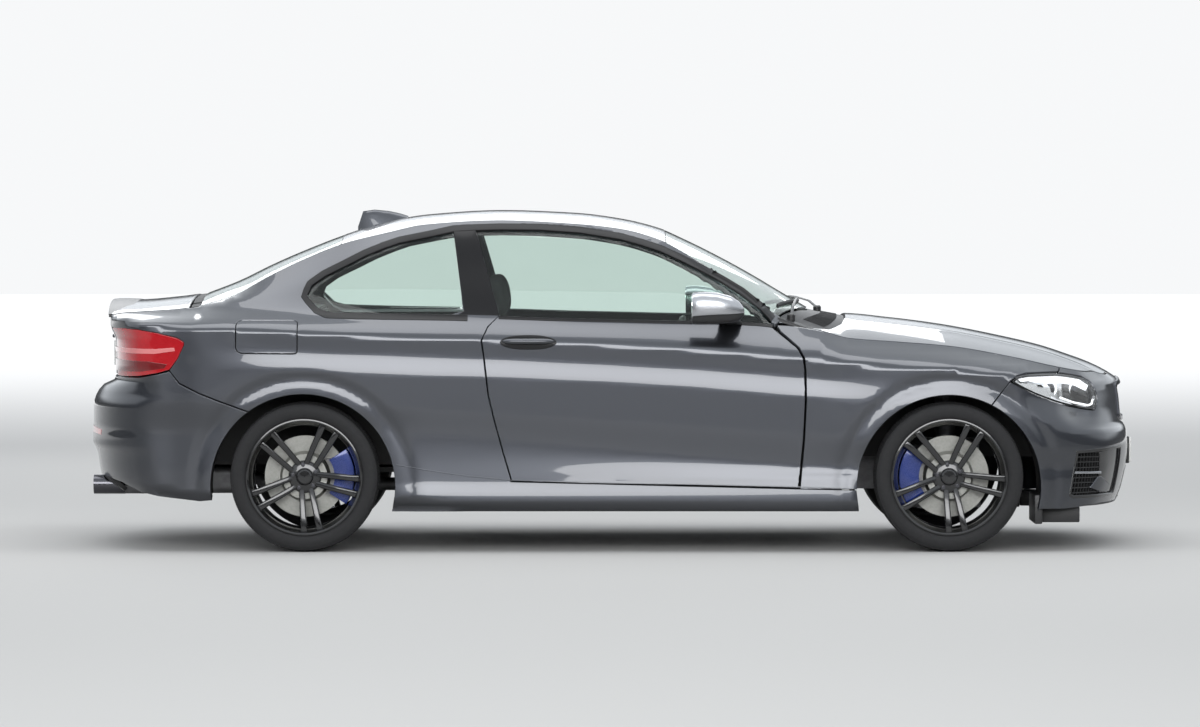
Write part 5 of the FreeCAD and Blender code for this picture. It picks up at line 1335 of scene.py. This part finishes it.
def caliperParts(back):
    high, low, lowZ = caliper["cheek"]
    wide, narrow = caliper["cheekAngles"]
    cheek = arc((0, 0), high, -wide, wide, 14) + arc((0, 0), low, narrow, -narrow, 8, lowZ / low)
    (high, low), a = caliper["bridge"], caliper["bridgeAngle"]
    bridge = arc((0, 0), high, -a, a, 11) + arc((0, 0), low, a, -a, 11)
    return joined([loft([[(back * x, y, z) for x, z in loop] for y in caliper[part]])
                   for part, loop in (("outer", cheek), ("inner", cheek), ("over", bridge))])


for end, axle, track, width in wheel["axles"]:
    half = width / 2
    forms = {
        "Rim": (turned(rimProfile(half), 128), rimBlack, {"angle": 32}),
        "Spokes": (joined([spokes(), turned(wheel["hub"], 64)]), rimBlack, {"angle": 40, "rounded": 2.0}),
        "HubCap": (turned(wheel["cap"], 48), rimBlack, {"angle": 30}),
        "Bolts": (bolts(), darkChrome, {}),
        "Tyre": (turned(tyreProfile(half), 160), rubber, {"angle": 50}),
    }
    treadPoints, treadFaces = treadMesh(half)
    brakePoints, brakeFaces = caliperParts(-1 if end == "front" else 1)
    for hand, sign in hands:
        body, title = f"wheel_{end}_{hand}", end.title() + hand.title()
        flip, centre = np.array([1, sign, 1]), np.array([axle, sign * track / 2, car["wheelZ"]])
        for name, ((points, faces), look, finish) in forms.items():
            nodes = [f"{name.lower()}_{end}_{hand}"] if name in ("Rim", "Tyre") else []
            solidPiece(name + title, (points * flip + centre, faces), look, body, *nodes, **finish)
        item = meshObject("Tread" + title, treadPoints * flip + centre, treadFaces, rubber, smoothAll=False)
        rides(outwardNormals(item), body)
        carrier = f"knuckle_{hand}" if end == "front" else "body"
        brake = brakePoints * flip + centre, brakeFaces
        solidPiece("Caliper" + title, brake, caliperBlue, carrier, rounded=3)
print("wheels done")

# Front and rear chairs, the sizes as length, width and thickness
chair = {
    "y": 365, "cushionLean": -3, "backLean": -104, "headLean": -98, "sideY": 196,
    "cushion": ((-88, 385), (440, 330, 130)), "cushionSide": ((-90, 398), (430, 96, 140)),
    "back": ((-385, 665), (540, 340, 120)), "backSide": ((-372, 640), (470, 92, 150)),
    "head": ((-488, 1052), (180, 250, 96)),
    "frame": (-300, 130, 190, 226, 330), "stalk": 60, "crown": 0.10, "seamDepth": 0.05,
}
bench = {"y": 275, "lean": -5,
         "cushion": ((-930, 392), (410, 530, 104)), "back": ((-1158, 640), (560, 530, 96))}


def cubeGrid(count):  # points and faces of a cube of side 2, each side in count by count
    points, faces, index = [], [], {}
    for axis in range(3):
        for sign in (-1, 1):
            grid = []
            for i in range(count + 1):
                for j in range(count + 1):
                    p = [0, 0, 0]
                    p[axis], p[(axis + 1) % 3], p[(axis + 2) % 3] = sign, 2 * i / count - 1, 2 * j / count - 1
                    key = tuple(round(c, 5) for c in p)
                    if key not in index:
                        index[key] = len(points)
                        points.append(key)
                    grid.append(index[key])
            for i in range(count):
                for j in range(count):
                    a = i * (count + 1) + j
                    quad = [grid[a], grid[a + count + 1], grid[a + count + 2], grid[a + 1]]
                    faces.append(quad if sign > 0 else quad[::-1])
    return np.array(points, float), faces


def pillow(name, y, form, lean, power=3.6, seams=0):  # a stuffed block with crowned faces
    (x, z), size = form
    p, faces = cubeGrid(14)
    p = p / ((np.abs(p) ** power).sum(1) ** (1 / power))[:, None]
    middle = (1 - np.abs(p[:, 1]) ** 2) * (1 - np.minimum(np.abs(p[:, 0]), 1) ** 2)
    p[:, 2] *= 1 - chair["crown"] + chair["crown"] * middle * 1.4
    if seams:
        groove = bump((np.abs((p[:, 0] * seams) % 1 - 0.5)) / 0.14)
        p[:, 2] -= np.sign(p[:, 2]) * chair["seamDepth"] * groove * (np.abs(p[:, 1]) < 0.7)
    p = p * np.array(size) / 2
    c, s = math.cos(math.radians(lean)), math.sin(math.radians(lean))
    p = np.stack([p[:, 0] * c + p[:, 2] * s, p[:, 1], -p[:, 0] * s + p[:, 2] * c], 1) + np.array([x, y, z])
    item = meshObject(name, p, faces, cloth)
    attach(item, "body")
    return item


frontItems, frameParts = [], []
for hand, sign in hands:
    title, y = hand.title(), sign * chair["y"]
    low, high = chair["cushionLean"], chair["backLean"]
    frontItems.append(pillow("FrontCushion" + title, y, chair["cushion"], low, seams=2))
    frontItems.append(pillow("FrontBackrest" + title, y, chair["back"], high, seams=3))
    for place, dy in (("In", -chair["sideY"]), ("Out", chair["sideY"])):
        frontItems.append(pillow(f"CushionSide{title}{place}", y + dy, chair["cushionSide"], low))
        frontItems.append(pillow(f"BackSide{title}{place}", y + dy * 0.98, chair["backSide"], high))
    frontItems.append(pillow("HeadRest" + title, y, chair["head"], chair["headLean"], power=3.0))
    x0, x1, halfSpan, z0, z1 = chair["frame"]
    frameParts.append(boxPart(x0, x1, y - halfSpan, y + halfSpan, z0, z1))
    for dy in (-chair["stalk"], chair["stalk"]):
        frameParts.append(tube([(-468, y + dy, 905), (-486, y + dy, 1010)], 6.5, 10))
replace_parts(frontItems[0], "front_seats")
solidPiece("FrontFrames", joined(frameParts), satinBlack, "body", rounded=4)
rearItems = []
for hand, sign in hands:
    title, y = hand.title(), sign * bench["y"]
    rearItems.append(pillow("RearCushion" + title, y, bench["cushion"], bench["lean"], seams=2))
    rearItems.append(pillow("RearBack" + title, y, bench["back"], chair["backLean"], seams=2))
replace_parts(rearItems[0], "rear_seat")

# Belts and the trim beside the rear bench
cabin = {"beltPath": [(-540, 690, 420), (-548, 688, 800), (-560, 640, 1140)], "beltWide": 20,
         "beltFlat": 0.08, "trimY": 704.0,
         "trim": [(-1160, 690), (-1060, 650), (-980, 570), (-905, 400), (-640, 400), (-600, 700),
                  (-560, 950), (-900, 968), (-1150, 960)]}
solidPair("ShoulderBelt", tube(cabin["beltPath"], cabin["beltWide"], 8, cabin["beltFlat"]), trimGrey)
trimMade = panelMesh(inFlat(cabin["trimY"]), softened(cabin["trim"]), depth=6, spacing=80, inward=outwards)
pairOf("QuarterTrim", trimMade, trimGrey)
print("cabin done")

# Studio, in metres: a floor that turns into the backdrop behind the car, three lamps and the camera
studio = {
    "floor": (0.55, 0.55, 0.54), "backdrop": (0.93, 0.94, 0.95), "fadeFrom": 2.5, "fadeTo": 26.0,
    "fill": (0.93, 0.96, 1.0), "fillStrength": 0.66,
    "mirroredLow": (0.20, 0.21, 0.22), "mirroredLowStrength": 0.25,
    "mirroredHigh": (0.90, 0.95, 1.0), "mirroredHighStrength": 1.1, "horizon": (0.07, 0.17),
    # name, place, what it points at, size, power in watts and spread in degrees
    "lamps": (("Overhead", (0, -0.6, 5.2), (0, 0, 0.6), (7.5, 2.6), 150, 180),
              ("FrontSide", (0, -14.0, 4.7), (0, 0, 0.7), (13.0, 4.8), 430, 110),
              ("BackSide", (-1.5, 8.0, 4.2), (0, 0, 0.7), (8.0, 2.0), 110, 180)),
    "camera": (-0.047, -24.9, 1.5), "tilt": 1.70, "lens": 173.2, "sensor": 36.0,
}
black = (0.0, 0.0, 0.0)
floorMesh = bpy.data.meshes.new("Floor")
floorMesh.from_pydata([(-60, -40, 0), (60, -40, 0), (60, 60, 0), (-60, 60, 0)], [], [(0, 1, 2, 3)])
floor = bpy.data.objects.new("Floor", floorMesh)
bpy.context.scene.collection.objects.link(floor)
floorShader = Shader("FloorPale", studio["floor"], 0.85, Emission_Strength=1.0)
behindCar = floorShader.node("SeparateXYZ", "Y", Vector=floorShader.place())
far = floorShader.node("MapRange", 0, {"interpolation_type": "SMOOTHSTEP"}, Value=behindCar,
                       From_Min=studio["fadeFrom"], From_Max=studio["fadeTo"])
floorShader.tint(far, studio["floor"], black)
floorShader.tint(far, black, studio["backdrop"], "Emission Color")
floorMesh.materials.append(floorShader.material)

world = bpy.data.worlds.new("Studio")
bpy.context.scene.world = world
world.use_nodes = True
tree = world.node_tree
tree.nodes.clear()


def worldNode(kind, out=0, settings=None, **inputs):
    return Signal(tree, addNode(tree, "ShaderNode" + kind, settings, **inputs).outputs[out])


def backdrop(colour, strength):
    return worldNode("Background", i0=(*colour, 1), i1=strength)


# The camera and the glass see the backdrop, the paint a dark floor and a bright sky, the rest an even light
up = worldNode("SeparateXYZ", "Z", Vector=worldNode("TexCoord"))
low, high = studio["horizon"]
sky = worldNode("MapRange", 0, {"interpolation_type": "SMOOTHSTEP"}, Value=up, From_Min=low, From_Max=high)
mirrored = worldNode("MixShader", i0=sky, i1=backdrop(studio["mirroredLow"], studio["mirroredLowStrength"]),
                     i2=backdrop(studio["mirroredHigh"], studio["mirroredHighStrength"]))
isCamera, isGlossy, isThrough = (worldNode("LightPath", kind) for kind in (
    "Is Camera Ray", "Is Glossy Ray", "Is Transmission Ray"))
direct = isCamera.math("MAXIMUM", isCamera, isThrough)
unseen = worldNode("MixShader", i0=isGlossy, i1=backdrop(studio["fill"], studio["fillStrength"]), i2=mirrored)
seen = worldNode("MixShader", i0=direct, i1=unseen, i2=backdrop(studio["backdrop"], 1.0))
addNode(tree, "ShaderNodeOutputWorld", None, i0=seen)

for name, place, target, size, power, spread in studio["lamps"]:
    light = bpy.data.lights.new(name, "AREA")
    light.shape = "RECTANGLE"
    light.size, light.size_y = size
    light.energy, light.spread = power, math.radians(spread)
    item = bpy.data.objects.new(name, light)
    item.location = place
    item.rotation_euler = (Vector(target) - Vector(place)).to_track_quat("-Z", "Y").to_euler()
    bpy.context.scene.collection.objects.link(item)

camera = bpy.data.objects.new("Camera", bpy.data.cameras.new("Camera"))
camera.data.lens, camera.data.sensor_width = studio["lens"], studio["sensor"]
camera.data.clip_end = 200
camera.location = studio["camera"]
camera.rotation_euler = (math.radians(90 - studio["tilt"]), 0, 0)
bpy.context.scene.collection.objects.link(camera)
bpy.context.scene.camera = camera
bpy.context.scene.view_settings.view_transform = "Standard"
